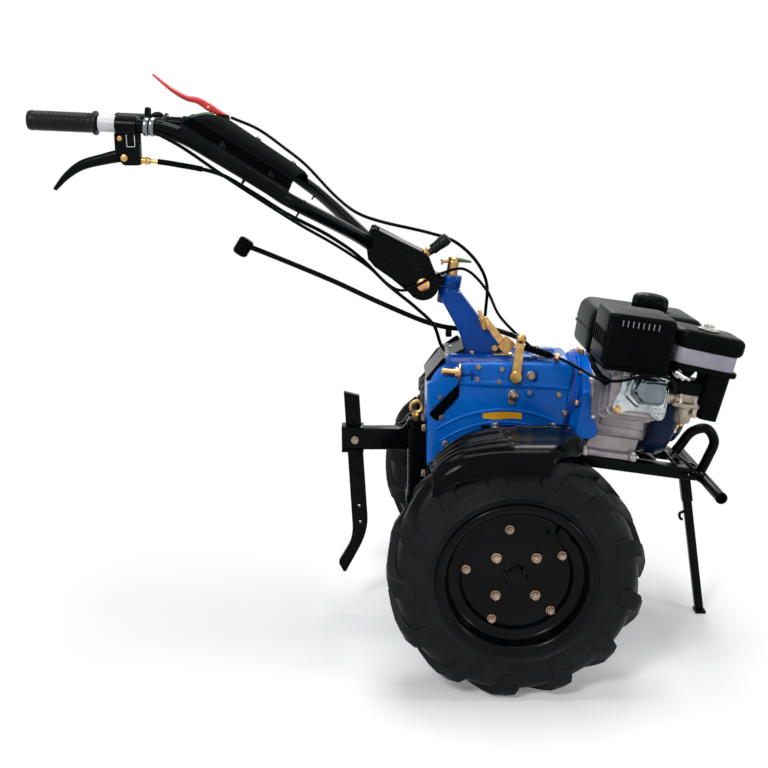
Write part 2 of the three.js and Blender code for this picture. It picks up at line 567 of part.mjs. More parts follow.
const boltEnd = CLAMP_INNER + CLAMP_PLATE + GAP;
const boltHeads = [-1, 1].map((side) => (
  bar([TILT_PIVOT[0], side * boltEnd, TILT_PIVOT[1]], [TILT_PIVOT[0], side * (boltEnd + 8), TILT_PIVOT[1]],
    12, 6)));
add("tilt_bolt", join(tiltBolt(0, boltEnd + 4), ...boltHeads), GOLD_PLATE);

// ---- handlebar: clamp, two tubes, console panel, grips and levers --------------------------------------
const clampShape = new THREE.Shape();
clampShape.moveTo(-262, 746);
clampShape.lineTo(-212, 705);
clampShape.absarc(TILT_PIVOT[0], TILT_PIVOT[1], CLAMP_END_RADIUS, Math.PI * 1.295, Math.PI * 2.15, false);
clampShape.lineTo(-146, 752);
clampShape.lineTo(-238, 799);
clampShape.lineTo(-254, 806);
const clampBlock = sidePlate(clampShape, -CLAMP_INNER - CLAMP_PLATE, CLAMP_INNER + CLAMP_PLATE);
const clampInside = [[-300, 740], [-212, 690], [-120, 640], [-90, 700], [-112, 742], [-146, 742], [-262, 800],
  [-300, 800]];
const clampHollow = sidePlate(clampInside, -CLAMP_INNER, CLAMP_INNER);

const tubeStart = [-212, CLAMP_INNER - TUBE_RADIUS - GAP, 738];
function tubePath(side) {
  const half = HANDLE_HALF_WIDTH;
  const line = [
    tubeStart, [-250, 20, 768], [-276, 48, 789], [-320, 124, 822], [-372, 205, 858], [-400, half - 60, 876],
    [-424, half - 52, 893], [-503, half - 28, 944], [-564, half - 10, 980], [-610, half - 1, 993],
    [-690, half, GRIP_HEIGHT - 5], [GRIP_REAR + 8, half, GRIP_HEIGHT],
  ];
  return line.map(([x, y, z]) => [x, side * y, z]);
}
const gripAxis = [[GRIP_REAR + GRIP_LENGTH, GRIP_HEIGHT - 4.7], [GRIP_REAR, GRIP_HEIGHT + 0.2]];
const panelHalf = (x) => HANDLE_HALF_WIDTH - 66 + Math.min(56, Math.max(0, (-x - 400) * 0.36));
const panelHeight = (x) => 877 + (-x - 400) * 0.648;
const tubeSpace = (side) => pipe(tubePath(side), TUBE_RADIUS + GAP, 12, 42);
const clamp = cut(clampBlock, clampHollow, tiltBolt(PIN_GAP, 60), tubeSpace(-1), tubeSpace(1));
add("handle_clamp", clamp, BLACK_PAINT);
for (const [word, side] of SIDES) {
  const y = side * HANDLE_HALF_WIDTH;
  const [front, rear] = gripAxis.map(([x, z]) => [x, y, z]);
  add(`handle_tube_${word}`, pipe(tubePath(side), TUBE_RADIUS, 12, 42), BLACK_PAINT);
  add(`grip_${word}`, cut(bar(rear, front, GRIP_RADIUS, 24), tubeSpace(side)), RUBBER);
}

const panelAt = (u, v) => {
  const x = -542 + 150 * u;
  const across = (2 * v - 1) * (panelHalf(x) + 6);
  const crown = 20 * (1 - (2 * v - 1) ** 2);
  return [x, across, panelHeight(x) + TUBE_RADIUS + 3.5 + crown];
};
add("console_panel", sheet(panelAt, 4, 8, 3), BLACK_PAINT);

// A clip round the handle tube, split lengthways by its own plate, that carries a hand lever.
function leverBracket(side, plate) {
  const y = side * HANDLE_HALF_WIDTH;
  const ring = bar([-662, y, 995.5], [-630, y, 993.9], TUBE_RADIUS + 4, 20);
  return cut(join(ring, plate), tubeSpace(side));
}
const atHandle = (side, half) => [side * HANDLE_HALF_WIDTH - half, side * HANDLE_HALF_WIDTH + half];
const slotHalf = LEVER_HALF_THICK + 0.5;
const rightPlate = sidePlate([[-667, 993], [-667, 950], [-655, 932], [-627, 932], [-627, 993]],
  ...atHandle(-1, CLIP_HALF_WIDTH));
const leverSlot = box([-700, -636], atHandle(-1, slotHalf), [900, 968]);
function leverPin(half, grow) {
  const ends = atHandle(-1, half).map((y) => [LEVER_PIVOT[0], y, LEVER_PIVOT[1]]);
  return bar(...ends, LEVER_PIN_RADIUS + grow, 14);
}
const rightBracket = cut(leverBracket(-1, rightPlate), leverSlot, leverPin(40, GAP));
add("lever_bracket_right", rightBracket, BLACK_PAINT);
const rightLeverOutline = [
  [-640, 958], [-660, 962], [-690, 951], [-727, 941], [-752, 921], [-774, 893], [-768, 892], [-744, 910],
  [-722, 924], [-690, 932], [-656, 934], [-640, 938],
];
const rightLever = sidePlate(rightLeverOutline, ...atHandle(-1, LEVER_HALF_THICK));
add("clutch_lever_right", join(rightLever, leverPin(14, 0)), BLACK_PAINT);

const leftPlate = sidePlate([[-660, 993], [-632, 993], [-586, 1000], [-560, 1000], [-566, 1016], [-600, 1016],
  [-656, 1012]], ...atHandle(1, CLIP_HALF_WIDTH));
const redSlot = box([-700, -556], atHandle(1, slotHalf), [1009, 1100]);
add("lever_bracket_left", cut(leverBracket(1, leftPlate), redSlot), BLACK_PAINT);
const redOutline = [
  [-723, 1101], [-723, 1096], [-682, 1062], [-652, 1040], [-610, 1018], [-580, 1009.3], [-560, 1009.3],
  [-560, 1013], [-602, 1044], [-628, 1054], [-656, 1054], [-684, 1072],
];
add("clutch_lever_left", sidePlate(redOutline, ...atHandle(1, LEVER_HALF_THICK)), RED_LEVER);

const throttleRing = bar([-619, -HANDLE_HALF_WIDTH, 994.3], [-608, -HANDLE_HALF_WIDTH, 992.5],
  TUBE_RADIUS + 6, 20);
const throttleOutline = [[-618, 1004], [-606, 1004], [-590, 1002], [-588, 1008], [-606, 1024], [-616, 1026]];
const throttleArm = sidePlate(throttleOutline, ...atHandle(-1, 4));
add("throttle_lever", cut(join(throttleRing, throttleArm), tubeSpace(-1)), BLACK_PAINT);

const lockFoot = [-148, 0, 752.6];
const lockLever = bar(lockFoot, [-108, 0, 780], 7, 16);
const lockGrip = bar([-134, 0, 762], [-108, 0, 780], 13, 20);
const clampTopSpace = clampBlock.clone().translate(0, 0, GAP);
add("tilt_lock_lever", cut(join(lockLever, lockGrip), clampTopSpace), RUBBER);

// ---- gear shift: rod with a knob at the rear, crank on the case's right face ---------------------------
const crankY = -CASE_HALF_WIDTH - 6; // the crank arm's middle
const crankBallIn = crankY + 4;
const shiftPath = [[-488, -60, 774], [-476, -60, 770], [-332, -45, 708], [-239, -30, 662], [-143, -12, 619],
  [-93, 0, 606], [-40, -2, 606], [-14, -18, 606], [8, -52, 605], [24, crankY + 1, 603]];
const shiftRod = (grow) => pipe(shiftPath, SHIFT_ROD_RADIUS + grow, 10, 44);
const ballSpace = box([15, 60], [crankY - 29, crankBallIn + 0.7], [560, 640]);
add("shift_rod", cut(shiftRod(0), ballSpace), BLACK_PAINT);
const knob = bar([-512, -60, 785], [-487.5, -60, 772.5], KNOB_RADIUS, 20);
add("shift_knob", cut(knob, shiftRod(GAP)), BLACK_PLASTIC);
const crankBar = sidePlate([[CRANK_PIVOT[0] - 8, CRANK_PIVOT[1]], [CRANK_PIVOT[0] + 8, CRANK_PIVOT[1]],
  [CRANK_TOP[0] + 8, CRANK_TOP[1]], [CRANK_TOP[0] - 8, CRANK_TOP[1]]], crankY - CRANK_THICK / 2,
  crankY + CRANK_THICK / 2);
const crankBoss = bar([CRANK_PIVOT[0], -CASE_HALF_WIDTH - GAP, CRANK_PIVOT[1]], [CRANK_PIVOT[0], crankY - 9,
  CRANK_PIVOT[1]], 12, 20);
const crankBall = bar([CRANK_TOP[0], crankBallIn, CRANK_TOP[1]], [CRANK_TOP[0], crankY - 9, CRANK_TOP[1]],
  9, 16);
add("shift_crank", join(crankBar, crankBoss, crankBall), GOLD_PLATE);

const cableStay = sidePlate([[-150, 512], [-124, 548], [-84, CASE_TOP + 20], [-78, CASE_TOP + 20],
  [-78, CASE_TOP + GAP + 1], [-110, 530], [-140, 500]], CASE_HALF_WIDTH + GAP, CASE_HALF_WIDTH + 4);
add("cable_stay", cableStay, BLACK_PAINT);

// ---- control cables, each whole from its lever to its end -----------------------------------------------
const rightCable = [
  [-626, -290, 940], [-574, -288, 934], [-505, -262, 917], [-459, -248, 890], [-400, -226, 850],
  [-330, -140, 802], [-272, -50, 748], [-225, -46, 700], [-170, -46, 655], [-135, -44, 620], [-120, -40, 580],
  [-104, -36, CASE_TOP + 4],
];
const leftCable = [
  [-558.2, 290, 1009], [-500, 276, 985], [-440, 250, 945], [-400, 236, 915], [-330, 150, 852], [-280, 60, 824],
  [-238, 30, 812], [-142, 26, 790], [-94, 24, 774], [-50, 22, 735], [-28, 30, 690], [-28, 42, 630],
  [-32, 44, CASE_TOP + 0.8],
];
const throttleCable = [
  [-600, -306, 985], [-560, -296, 962], [-500, -278, 918], [-430, -252, 868], [-380, -222, 832],
  [-320, -138, 786], [-262, -56, 736], [-200, -58, 690], [-130, -60, 720], [-80, -52, 730], [-36, -46, 690],
  [-10, -50, 640], [40, -52, 590], [64, -56, 572], [104, -74, 562], [142, -120, 548], [160, -196, 549],
  [186, -238, 557], [224, -243, 566], [262, -240, 565], [286, -224, 549], [296, -192, 522.5],
];
add("clutch_cable_right", pipe(rightCable, CABLE_RADIUS, 8, 46), BLACK_PLASTIC);
add("clutch_cable_left", pipe(leftCable, CABLE_RADIUS, 8, 46), BLACK_PLASTIC);
add("throttle_cable", pipe(throttleCable, CABLE_RADIUS - 0.5, 8, 64), BLACK_PLASTIC);

// ---- the origin: the middle of the footprint, on the ground -----------------------------------------------
tractor.position.x = -(GRIP_REAR + GUARD_HOOP_FRONT + GUARD_RADIUS - 1) / 2;

export default tractor;
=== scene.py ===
"""A walk-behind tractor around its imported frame: wheels, gearbox, engine, handlebar, controls and finishes.

Shapes are written in millimetres: x forwards from the wheel axle, y to the machine's left from its middle,
and z up from the ground. Engine shapes are written along the crankshaft, which slopes down to the front.
"""
import bpy
import bmesh
import math
from mathutils import Matrix, Vector
from mathutils.geometry import tessellate_polygon


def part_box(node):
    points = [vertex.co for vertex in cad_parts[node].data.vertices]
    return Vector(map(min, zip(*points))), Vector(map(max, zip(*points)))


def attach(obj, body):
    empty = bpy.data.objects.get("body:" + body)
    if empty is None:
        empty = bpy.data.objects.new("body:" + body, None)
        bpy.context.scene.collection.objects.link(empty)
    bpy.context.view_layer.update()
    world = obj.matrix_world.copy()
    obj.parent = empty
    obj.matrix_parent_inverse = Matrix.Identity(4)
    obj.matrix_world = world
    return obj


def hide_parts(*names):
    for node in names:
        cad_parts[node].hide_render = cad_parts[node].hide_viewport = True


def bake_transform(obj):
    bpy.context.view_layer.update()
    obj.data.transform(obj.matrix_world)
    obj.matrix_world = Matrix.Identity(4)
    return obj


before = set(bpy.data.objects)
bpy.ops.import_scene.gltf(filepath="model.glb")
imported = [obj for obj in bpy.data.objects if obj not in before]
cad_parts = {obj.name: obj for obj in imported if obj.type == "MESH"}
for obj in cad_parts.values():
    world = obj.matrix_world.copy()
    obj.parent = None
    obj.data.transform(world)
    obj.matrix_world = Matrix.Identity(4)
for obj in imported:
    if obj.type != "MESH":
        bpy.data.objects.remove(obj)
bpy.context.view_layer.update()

# ---- places taken from the frame -------------------------------------------------------
MM = 0.001
TYRE_LOW, TYRE_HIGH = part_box("tyre_left")
AXLE_X = (TYRE_LOW[0] + TYRE_HIGH[0]) / 2
TYRE_RADIUS = (TYRE_HIGH[2] - TYRE_LOW[2]) / 2 / MM
WHEEL_Y = (TYRE_LOW[1] + TYRE_HIGH[1]) / 2 / MM
NOSE_DOWN = math.radians(8)
CASE_FRONT = 131
CRANK_HEIGHT = 485
CYLINDER_MIDDLE = 90
CYLINDER_TILT = math.radians(14)
LAYOUT = Matrix.Translation((AXLE_X, 0, 0)) @ Matrix.Scale(MM, 4)
ENGINE = LAYOUT @ Matrix.Translation((CASE_FRONT, 0, CRANK_HEIGHT)) @ Matrix.Rotation(NOSE_DOWN, 4, "Y")
CYLINDER = ENGINE @ Matrix.Translation((CYLINDER_MIDDLE, 0, 0)) @ Matrix.Rotation(-CYLINDER_TILT, 4, "X")
AHEAD = Vector((1, 0, 0))
UP = Vector((0, 0, 1))
SIDES = (("right", -1), ("left", 1))


# ---- shape kit -------------------------------------------------------------------------
def square_to(axis):
    """Two directions square to an axis and to each other."""
    axis = Vector(axis).normalized()
    helper = Vector((0, 1, 0)) if abs(axis.y) < 0.9 else Vector((1, 0, 0))
    side = axis.cross(helper).normalized()
    return side, axis.cross(side).normalized()


def smooth_path(points, steps):
    """A smooth line through the points, with an even number of steps between neighbours."""
    pts = [Vector(p) for p in points]
    ends = [2 * pts[0] - pts[1]] + pts + [2 * pts[-1] - pts[-2]]
    line = []
    for i in range(1, len(ends) - 2):
        a, b, c, d = ends[i - 1:i + 3]
        t1 = (b - a).length ** 0.5
        t2 = t1 + (c - b).length ** 0.5
        t3 = t2 + (d - c).length ** 0.5
        for k in range(steps):
            t = t1 + (t2 - t1) * k / steps
            p = a.lerp(b, t / t1)
            q = b.lerp(c, (t - t1) / (t2 - t1))
            r = c.lerp(d, (t - t2) / (t3 - t2))
            line.append(p.lerp(q, t / t2).lerp(q.lerp(r, (t - t1) / (t3 - t1)), (t - t1) / (t2 - t1)))
    return line + [pts[-1]]


def arc(middle, radius, start, end, steps):
    """Points of an arc, with its angles in degrees."""
    turn = [math.radians(start + (end - start) * i / steps) for i in range(steps + 1)]
    return [(middle[0] + radius * math.cos(a), middle[1] + radius * math.sin(a)) for a in turn]


def axle_point(radius, degrees, y):
    """A point on a circle round the wheel axle."""
    turn = math.radians(degrees)
    return Vector((radius * math.cos(turn), y, TYRE_RADIUS + radius * math.sin(turn)))


def crank_point(x, radius, degrees):
    """A point on a circle round the crankshaft, for a form in the engine's space."""
    turn = math.radians(degrees)
    return Vector((x, radius * math.cos(turn), radius * math.sin(turn)))


def bend(start, corner, end):
    """Points of a curve from start to end that leans towards the corner."""
    a, b, c = Vector(start), Vector(corner), Vector(end)
    return [tuple(a.lerp(b, t).lerp(b.lerp(c, t), t)) for t in (0, 0.17, 0.33, 0.5, 0.67, 0.83, 1)]


def rounded(outline, radius, steps=3):
    """The outline with each corner rounded by up to the radius."""
    result = []
    count = len(outline)
    for i in range(count):
        corner = Vector(outline[i])
        before = Vector(outline[i - 1]) - corner
        after = Vector(outline[(i + 1) % count]) - corner
        reach = min(radius, before.length * 0.45, after.length * 0.45)
        a = corner + before.normalized() * reach
        b = corner + after.normalized() * reach
        for k in range(steps + 1):
            t = k / steps
            result.append(tuple(a.lerp(corner, t).lerp(corner.lerp(b, t), t)))
    return result


class Form:
    """Closed shapes gathered into one mesh."""

    def __init__(self, space=LAYOUT):
        self.mesh = bmesh.new()
        self.space = space

    def loft(self, rings, closed=False, caps=True):
        """Rings with as many points each, joined one to the next."""
        size = len(rings[0])
        made = [[self.mesh.verts.new(p) for p in ring] for ring in rings]
        spans = len(rings) if closed else len(rings) - 1
        for i in range(spans):
            a, b = made[i], made[(i + 1) % len(rings)]
            for k in range(size):
                n = (k + 1) % size
                self.mesh.faces.new((a[k], a[n], b[n], b[k]))
        if caps and not closed:
            self.mesh.faces.new(list(reversed(made[0])))
            self.mesh.faces.new(made[-1])

    def block(self, x, y, z, round_=1.5, steps=2):
        """A box with rounded edges."""
        middle = Vector(((x[0] + x[1]) / 2, (y[0] + y[1]) / 2, (z[0] + z[1]) / 2))
        size = Matrix.Diagonal((x[1] - x[0], y[1] - y[0], z[1] - z[0], 1))
        made = bmesh.ops.create_cube(self.mesh, size=1, matrix=Matrix.Translation(middle) @ size)["verts"]
        if round_:
            edges = list({e for v in made for e in v.link_edges})
            bmesh.ops.bevel(self.mesh, geom=edges, offset=round_, segments=steps, profile=0.5,
                            affect="EDGES")

    def plate(self, outline, low, high, plane="xz", holes=(), chamfer=0.0):
        """A flat outline, with round holes (a, b, radius), drawn out from low to high."""
        places = {
            "xz": lambda a, b, c: (a, c, b), "yz": lambda a, b, c: (c, a, b),
            "xy": lambda a, b, c: (a, b, c),
        }
        place = places[plane]
        loops = [list(outline)] + [arc(hole[:2], hole[2], 0, 360 - 22.5, 15) for hole in holes]
        if not holes and chamfer:
            middle = Vector((sum(p[0] for p in outline), sum(p[1] for p in outline))) / len(outline)
            reach = max((Vector(p) - middle).length for p in outline)
            inner = [tuple(middle + (Vector(p) - middle) * (1 - chamfer / reach)) for p in outline]
            levels = [(inner, low), (outline, low + chamfer), (outline, high - chamfer), (inner, high)]
            self.loft([[place(a, b, level) for a, b in loop] for loop, level in levels])
            return
        flat = [Vector((a, b, 0)) for loop in loops for a, b in loop]
        faces = tessellate_polygon([[Vector((a, b, 0)) for a, b in loop] for loop in loops])
        bottom = [self.mesh.verts.new(place(p.x, p.y, low)) for p in flat]
        top = [self.mesh.verts.new(place(p.x, p.y, high)) for p in flat]
        for a, b, c in faces:
            self.mesh.faces.new((bottom[a], bottom[b], bottom[c]))
            self.mesh.faces.new((top[c], top[b], top[a]))
        start = 0
        for loop in loops:
            for i in range(len(loop)):
                a, b = start + i, start + (i + 1) % len(loop)
                self.mesh.faces.new((bottom[a], bottom[b], top[b], top[a]))
            start += len(loop)

    def spin(self, profile, at, axis, sides=48, closed=False, swell=None):
        """A profile of (radius, distance along the axis), turned round the axis.

        Swell alters the radii by angle."""
        at, axis = Vector(at), Vector(axis).normalized()
        side, across = square_to(axis)
        rings = []
        for i in range(sides):
            turn = 2 * math.pi * i / sides
            out = side * math.cos(turn) + across * math.sin(turn)
            grow = swell(turn) if swell else 1
            rings.append([at + out * max(r * grow, 0.01) + axis * d for r, d in profile])
        size = len(profile)
        made = [[self.mesh.verts.new(p) for p in ring] for ring in rings]
        last = size if closed else size - 1
        for i in range(sides):
            a, b = made[i], made[(i + 1) % sides]
            for k in range(last):
                n = (k + 1) % size
                self.mesh.faces.new((a[k], a[n], b[n], b[k]))
        if not closed:
            self.mesh.faces.new([ring[0] for ring in made])
            self.mesh.faces.new([ring[-1] for ring in reversed(made)])

    def rod(self, start, end, radius, end_radius=None, sides=24, round_=0.8):
        """A round bar with eased ends."""
        end_radius = radius if end_radius is None else end_radius
        run = Vector(end) - Vector(start)
        length = run.length
        ease = min(round_, length / 3, radius / 2, end_radius / 2)
        profile = [(radius - ease, 0), (radius, ease), (end_radius, length - ease),
                   (end_radius - ease, length)]
        self.spin(profile, start, run, sides)

    def tube(self, points, radius, sides=14, steps=8, shape=None):
        """A round line along a smooth path. Shape alters the radius along it."""
        line = smooth_path(points, steps)
        ahead = (line[1] - line[0]).normalized()
        side, _ = square_to(ahead)
        rings = []
        for i, p in enumerate(line):
            before = line[max(i - 1, 0)]
            after = line[min(i + 1, len(line) - 1)]
            now = (after - before).normalized()
            side = (side - now * side.dot(now)).normalized()
            across = now.cross(side)
            r = radius * (shape(i / (len(line) - 1)) if shape else 1)
            turn = [2 * math.pi * k / sides for k in range(sides)]
            rings.append([p + side * r * math.cos(a) + across * r * math.sin(a) for a in turn])
        self.loft(rings)

    def bolt(self, at, axis, across=13, head=5, stud=0.0, washer=True):
        """A six-sided head, on a washer, with the end of a stud where it is a nut."""
        at, axis = Vector(at), Vector(axis).normalized()
        lift = 0
        if washer:
            self.spin([(across * 0.66, 0), (across * 0.66, 1.2), (across * 0.6, 1.6)], at, axis, 20)
            lift = 1.2
        corner = across / 2 / math.cos(math.pi / 6)
        top = lift + head
        self.spin([(corner, lift), (corner, top - 0.8), (corner * 0.9, top), (corner * 0.5, top)], at, axis,
                  6)
        self.spin([(across * 0.42, top - 0.5), (across * 0.42, top + 0.3)], at, axis, 18)
        if stud:
            thread = across * 0.28
            self.spin([(thread, lift), (thread, top + stud - 1), (across * 0.2, top + stud)], at, axis, 14)

    def ring(self, at, axis, radius, wire, sides=28):
        """A hoop of round wire."""
        self.spin(arc((radius, 0), wire, 0, 324, 9), at, axis, sides, closed=True)

    def spring(self, start, step, axis, turns, radius, wire, sides=16):
        """Hoops in a row, each one step on from the last."""
        for k in range(turns):
            self.ring(Vector(start) + Vector(step) * k, axis, radius, wire, sides)


def piece(form, name, material, replaces=(), body="chassis", sharp=35, edge=0.0):
    """Makes the form an object that rides on the body it names; any other body leaves the object unparented
    where it stands.
    """
    bmesh.ops.recalc_face_normals(form.mesh, faces=form.mesh.faces)
    data = bpy.data.meshes.new(name)
    form.mesh.to_mesh(data)
    form.mesh.free()
    data.transform(form.space)
    data.shade_smooth()
    data.set_sharp_from_angle(angle=math.radians(sharp))
    data.materials.append(material)
    obj = bpy.data.objects.new(name, data)
    bpy.context.scene.collection.objects.link(obj)
    if edge:
        bevel = obj.modifiers.new("edges", "BEVEL")
        bevel.width = edge * MM
        bevel.segments = 2
        bevel.limit_method = "ANGLE"
        bevel.angle_limit = math.radians(40)
        bevel.harden_normals = True
    if isinstance(body, str):
        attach(obj, body)
    else:
        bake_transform(obj)
    if replaces:
        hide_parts(*replaces)


def bolted(name, material, places, space=LAYOUT, body="chassis", washer=True):
    """A piece made of bolts, each (place, direction, size across, height of its head, stud if any)."""
    form = Form(space)
    for place in places:
        form.bolt(*place, washer=washer)
    piece(form, name, material, body=body, sharp=25)


def feed(node, inputs):
    """Gives each input, by name or number, its constant or the socket that feeds it."""
    for key, value in inputs.items():
        if isinstance(value, bpy.types.NodeSocket):
            node.id_data.links.new(value, node.inputs[key])
        else:
            node.inputs[key].default_value = value


def add(tree, kind, inputs=None, **settings):
    """A new shader node with its settings and inputs."""
    made = tree.nodes.new("ShaderNode" + kind)
    for name, value in settings.items():
        setattr(made, name, value)
    feed(made, inputs or {})
    return made


def material(name, slot, color, second, roughness, metallic=0.0, coat=0.0, specular=0.5, grain=(600, 0.0),
             blotch=14, rough_spread=0.08, dust=0.0, dust_color=(0.3, 0.29, 0.3), edge=None):
    """Two close colours in soft blotches, uneven gloss, fine surface grain and a little dust."""
    made = bpy.data.materials.new(name)
    made.use_nodes = True
    tree = made.node_tree
    place = add(tree, "TexCoord").outputs["Object"]
    patches = add(tree, "TexNoise", {"Scale": blotch, "Detail": 5, "Vector": place}).outputs["Fac"]
    tones = add(tree, "ValToRGB", {"Fac": patches})
    for stop, position, shade in zip(tones.color_ramp.elements, (0.35, 0.68), (color, second)):
        stop.position = position
        stop.color = (*shade, 1)
    surface = tones.outputs["Color"]
    if dust:
        specks = add(tree, "TexNoise", {"Scale": 9, "Detail": 9, "Roughness": 0.7, "Vector": place})
        amount = add(tree, "MapRange", {"From Min": 0.5, "From Max": 0.75, "To Max": dust,
                                        "Value": specks.outputs["Fac"]})
        mix = add(tree, "Mix", data_type="RGBA")
        feed(mix, {"Factor": amount.outputs["Result"], 6: surface, 7: (*dust_color, 1)})
        surface = mix.outputs[2]
    gloss = add(tree, "MapRange", {"To Min": max(roughness - rough_spread, 0.02), "Value": patches,
                                   "To Max": roughness + rough_spread})
    shader = tree.nodes["Principled BSDF"]
    feed(shader, {"Base Color": surface, "Roughness": gloss.outputs["Result"], "Metallic": metallic,
                  "Coat Weight": coat, "Coat Roughness": 0.06, "Specular IOR Level": specular})
    if edge:
        feed(shader, {"Specular Tint": (*edge, 1)})
    scale, strength = grain
    if strength:
        fine = add(tree, "TexNoise", {"Scale": scale, "Detail": 3, "Vector": place})
        bump = add(tree, "Bump", {"Strength": strength, "Distance": 0.0006, "Height": fine.outputs["Fac"]})
        feed(shader, {"Normal": bump.outputs["Normal"]})
    return made


BLUE = material("blue_enamel", "blue_casting", (0.0008, 0.1, 0.47), (0.0012, 0.15, 0.64), 0.2, specular=0.16,
                grain=(130, 0.35), blotch=7)
# A darker copy of the blue enamel: painted shade, for the blue parts that stand in shadow (input housing,
# axle castings, column bracket, swivel collar).
SHADED_BLUE = material("blue_enamel_painted_shade", "blue_paint", (0.0008, 0.036, 0.2), (0.0012, 0.06, 0.34), 0.2,
                     specular=0.14, grain=(130, 0.3), blotch=9)
NAVY = material("navy_enamel", "navy_paint", (0.0007, 0.007, 0.034), (0.0009, 0.013, 0.058), 0.36,
                specular=0.12, grain=(300, 0.12))
BLACK = material("black_enamel", "black_paint", (0.001, 0.0016, 0.0018), (0.0022, 0.003, 0.0032), 0.2,
                 specular=0.06, grain=(160, 0.2))
DISC_BLACK = material("wheel_black", "black_paint", (0.001, 0.0012, 0.0016), (0.0022, 0.0026, 0.0034), 0.2,
                      specular=0.09, grain=(150, 0.18))
GUARD_BLACK = material("mudguard_enamel", "black_paint", (0.001, 0.0016, 0.0018), (0.0022, 0.003, 0.0032),
                       0.14, specular=0.045, grain=(120, 0.15))
DASH_BLACK = material("dash_black", "black_paint", (0.0055, 0.007, 0.0078), (0.009, 0.011, 0.012), 0.45,
                      metallic=1.0, grain=(160, 0.2), edge=(0.0, 0.0, 0.0))
PLASTIC = material("black_plastic", "black_plastic", (0.0012, 0.0024, 0.002), (0.0024, 0.0042, 0.0036), 0.3,
                   specular=0.025, grain=(700, 0.12))
SHIELD = material("muffler_enamel", "muffler_black", (0.001, 0.002, 0.0018), (0.0022, 0.0034, 0.0032), 0.3,
                  specular=0.022, grain=(500, 0.15))
GRIP = material("grip_rubber", "grip_rubber", (0.002, 0.0034, 0.0034), (0.0045, 0.0065, 0.0065), 0.34,
                specular=0.16, grain=(900, 0.25))
TYRE = material("tyre_rubber", "tyre_rubber", (0.0022, 0.0026, 0.0034), (0.0055, 0.0062, 0.008), 0.42,
                specular=0.12,
                grain=(450, 0.35), dust=0.3, dust_color=(0.03, 0.031, 0.042), rough_spread=0.12)
CAST = material("cast_aluminium", "cast_aluminium", (0.3, 0.265, 0.285), (0.42, 0.385, 0.4), 0.44,
                metallic=0.7, grain=(500, 0.6), blotch=30, dust=0.25, dust_color=(0.12, 0.1, 0.1))
POLISHED = material("polished_cover", "polished_steel", (0.26, 0.29, 0.3), (0.62, 0.67, 0.68), 0.16,
                    metallic=1.0, grain=(70, 0.35), blotch=34)
STEEL = material("zinc_steel", "polished_steel", (0.4, 0.4, 0.37), (0.62, 0.61, 0.58), 0.3, metallic=1.0,
                 grain=(500, 0.15), blotch=60)
GOLD = material("yellow_zinc", "gold_plate", (0.5, 0.27, 0.09), (0.68, 0.46, 0.18), 0.3, metallic=0.95,
                grain=(400, 0.2), blotch=70)
BOLT = material("dull_zinc", "gold_plate", (0.3, 0.22, 0.16), (0.46, 0.35, 0.26), 0.36, metallic=0.95,
                grain=(400, 0.2), blotch=70)
# Polished metal darkened below its own colour: a painted dark reflection, for the rocker cover's raised top
# and the throttle bands.
POLISH_PAINTED_DARK = material("polish_painted_dark_reflection", "polished_steel", (0.12, 0.15, 0.165), (0.24, 0.28, 0.3), 0.13,
                  metallic=1.0, grain=(60, 0.3), blotch=22, rough_spread=0.05)
PINK_GOLD = material("pink_zinc", "gold_plate", (0.62, 0.29, 0.12), (0.74, 0.42, 0.2), 0.32, metallic=0.95,
                     grain=(400, 0.2), blotch=60)
BRASS = material("carburettor_zinc", "cast_aluminium", (0.25, 0.21, 0.165), (0.43, 0.375, 0.31), 0.36,
                 metallic=0.85, grain=(500, 0.5), blotch=40)
RED = material("red_lever", "red_lever", (0.42, 0.004, 0.008), (0.58, 0.012, 0.014), 0.25, coat=0.3,
               specular=0.35, grain=(300, 0.1))
GREEN = material("green_latch", "black_plastic", (0.012, 0.07, 0.02), (0.025, 0.12, 0.035), 0.4,
                 grain=(300, 0.1))
GASKET = material("gasket_red", "blue_paint", (0.24, 0.015, 0.07), (0.34, 0.03, 0.1), 0.5, grain=(400, 0.2))
LABEL = material("blank_label", "black_paint", (0.5, 0.51, 0.54), (0.6, 0.61, 0.63), 0.4, grain=(300, 0.05))
ORANGE = material("blank_plate", "gold_plate", (0.72, 0.33, 0.008), (0.82, 0.43, 0.02), 0.4, grain=(90, 0.5))
BAND = material("pale_band", "black_plastic", (0.24, 0.245, 0.3), (0.33, 0.335, 0.38), 0.42,
                grain=(500, 0.15))
# Near-black painted shade, drawn in hollows: the coulter's holes and the inside of the recoil cover.
PAINTED_SHADE = material("painted_shade_black", "black_plastic", (0.001, 0.001, 0.001), (0.002, 0.002, 0.002), 0.8,
                specular=0.05, grain=(300, 0.1))


# ---- wheels ----------------------------------------------------------------------------
LUGS = 13
LUG_SPINE = [
    # top and base as (distance from the tyre's middle, radius past or inside its own), half widths, lean
    ((-6, 0), (-6, 17), 2.3, 3.3, -2.0), ((12, 0), (12, 17), 2.5, 3.5, 4.0),
    ((28, -0.3), (27, 18), 2.8, 3.8, 9.5), ((42, -3), (40, 22), 3.4, 4.3, 14.0),
    ((52, -11), (47, 26), 4.2, 5.0, 17.0),
    ((57, -24), (51, 34), 4.6, 5.4, 18.5), ((57.6, -38), (53, 42), 4.6, 5.4, 19.0),
    ((56, -48), (53, 50), 4.2, 5.0, 19.0),
]
OUTER_NUTS, INNER_NUTS = 89, 49.5


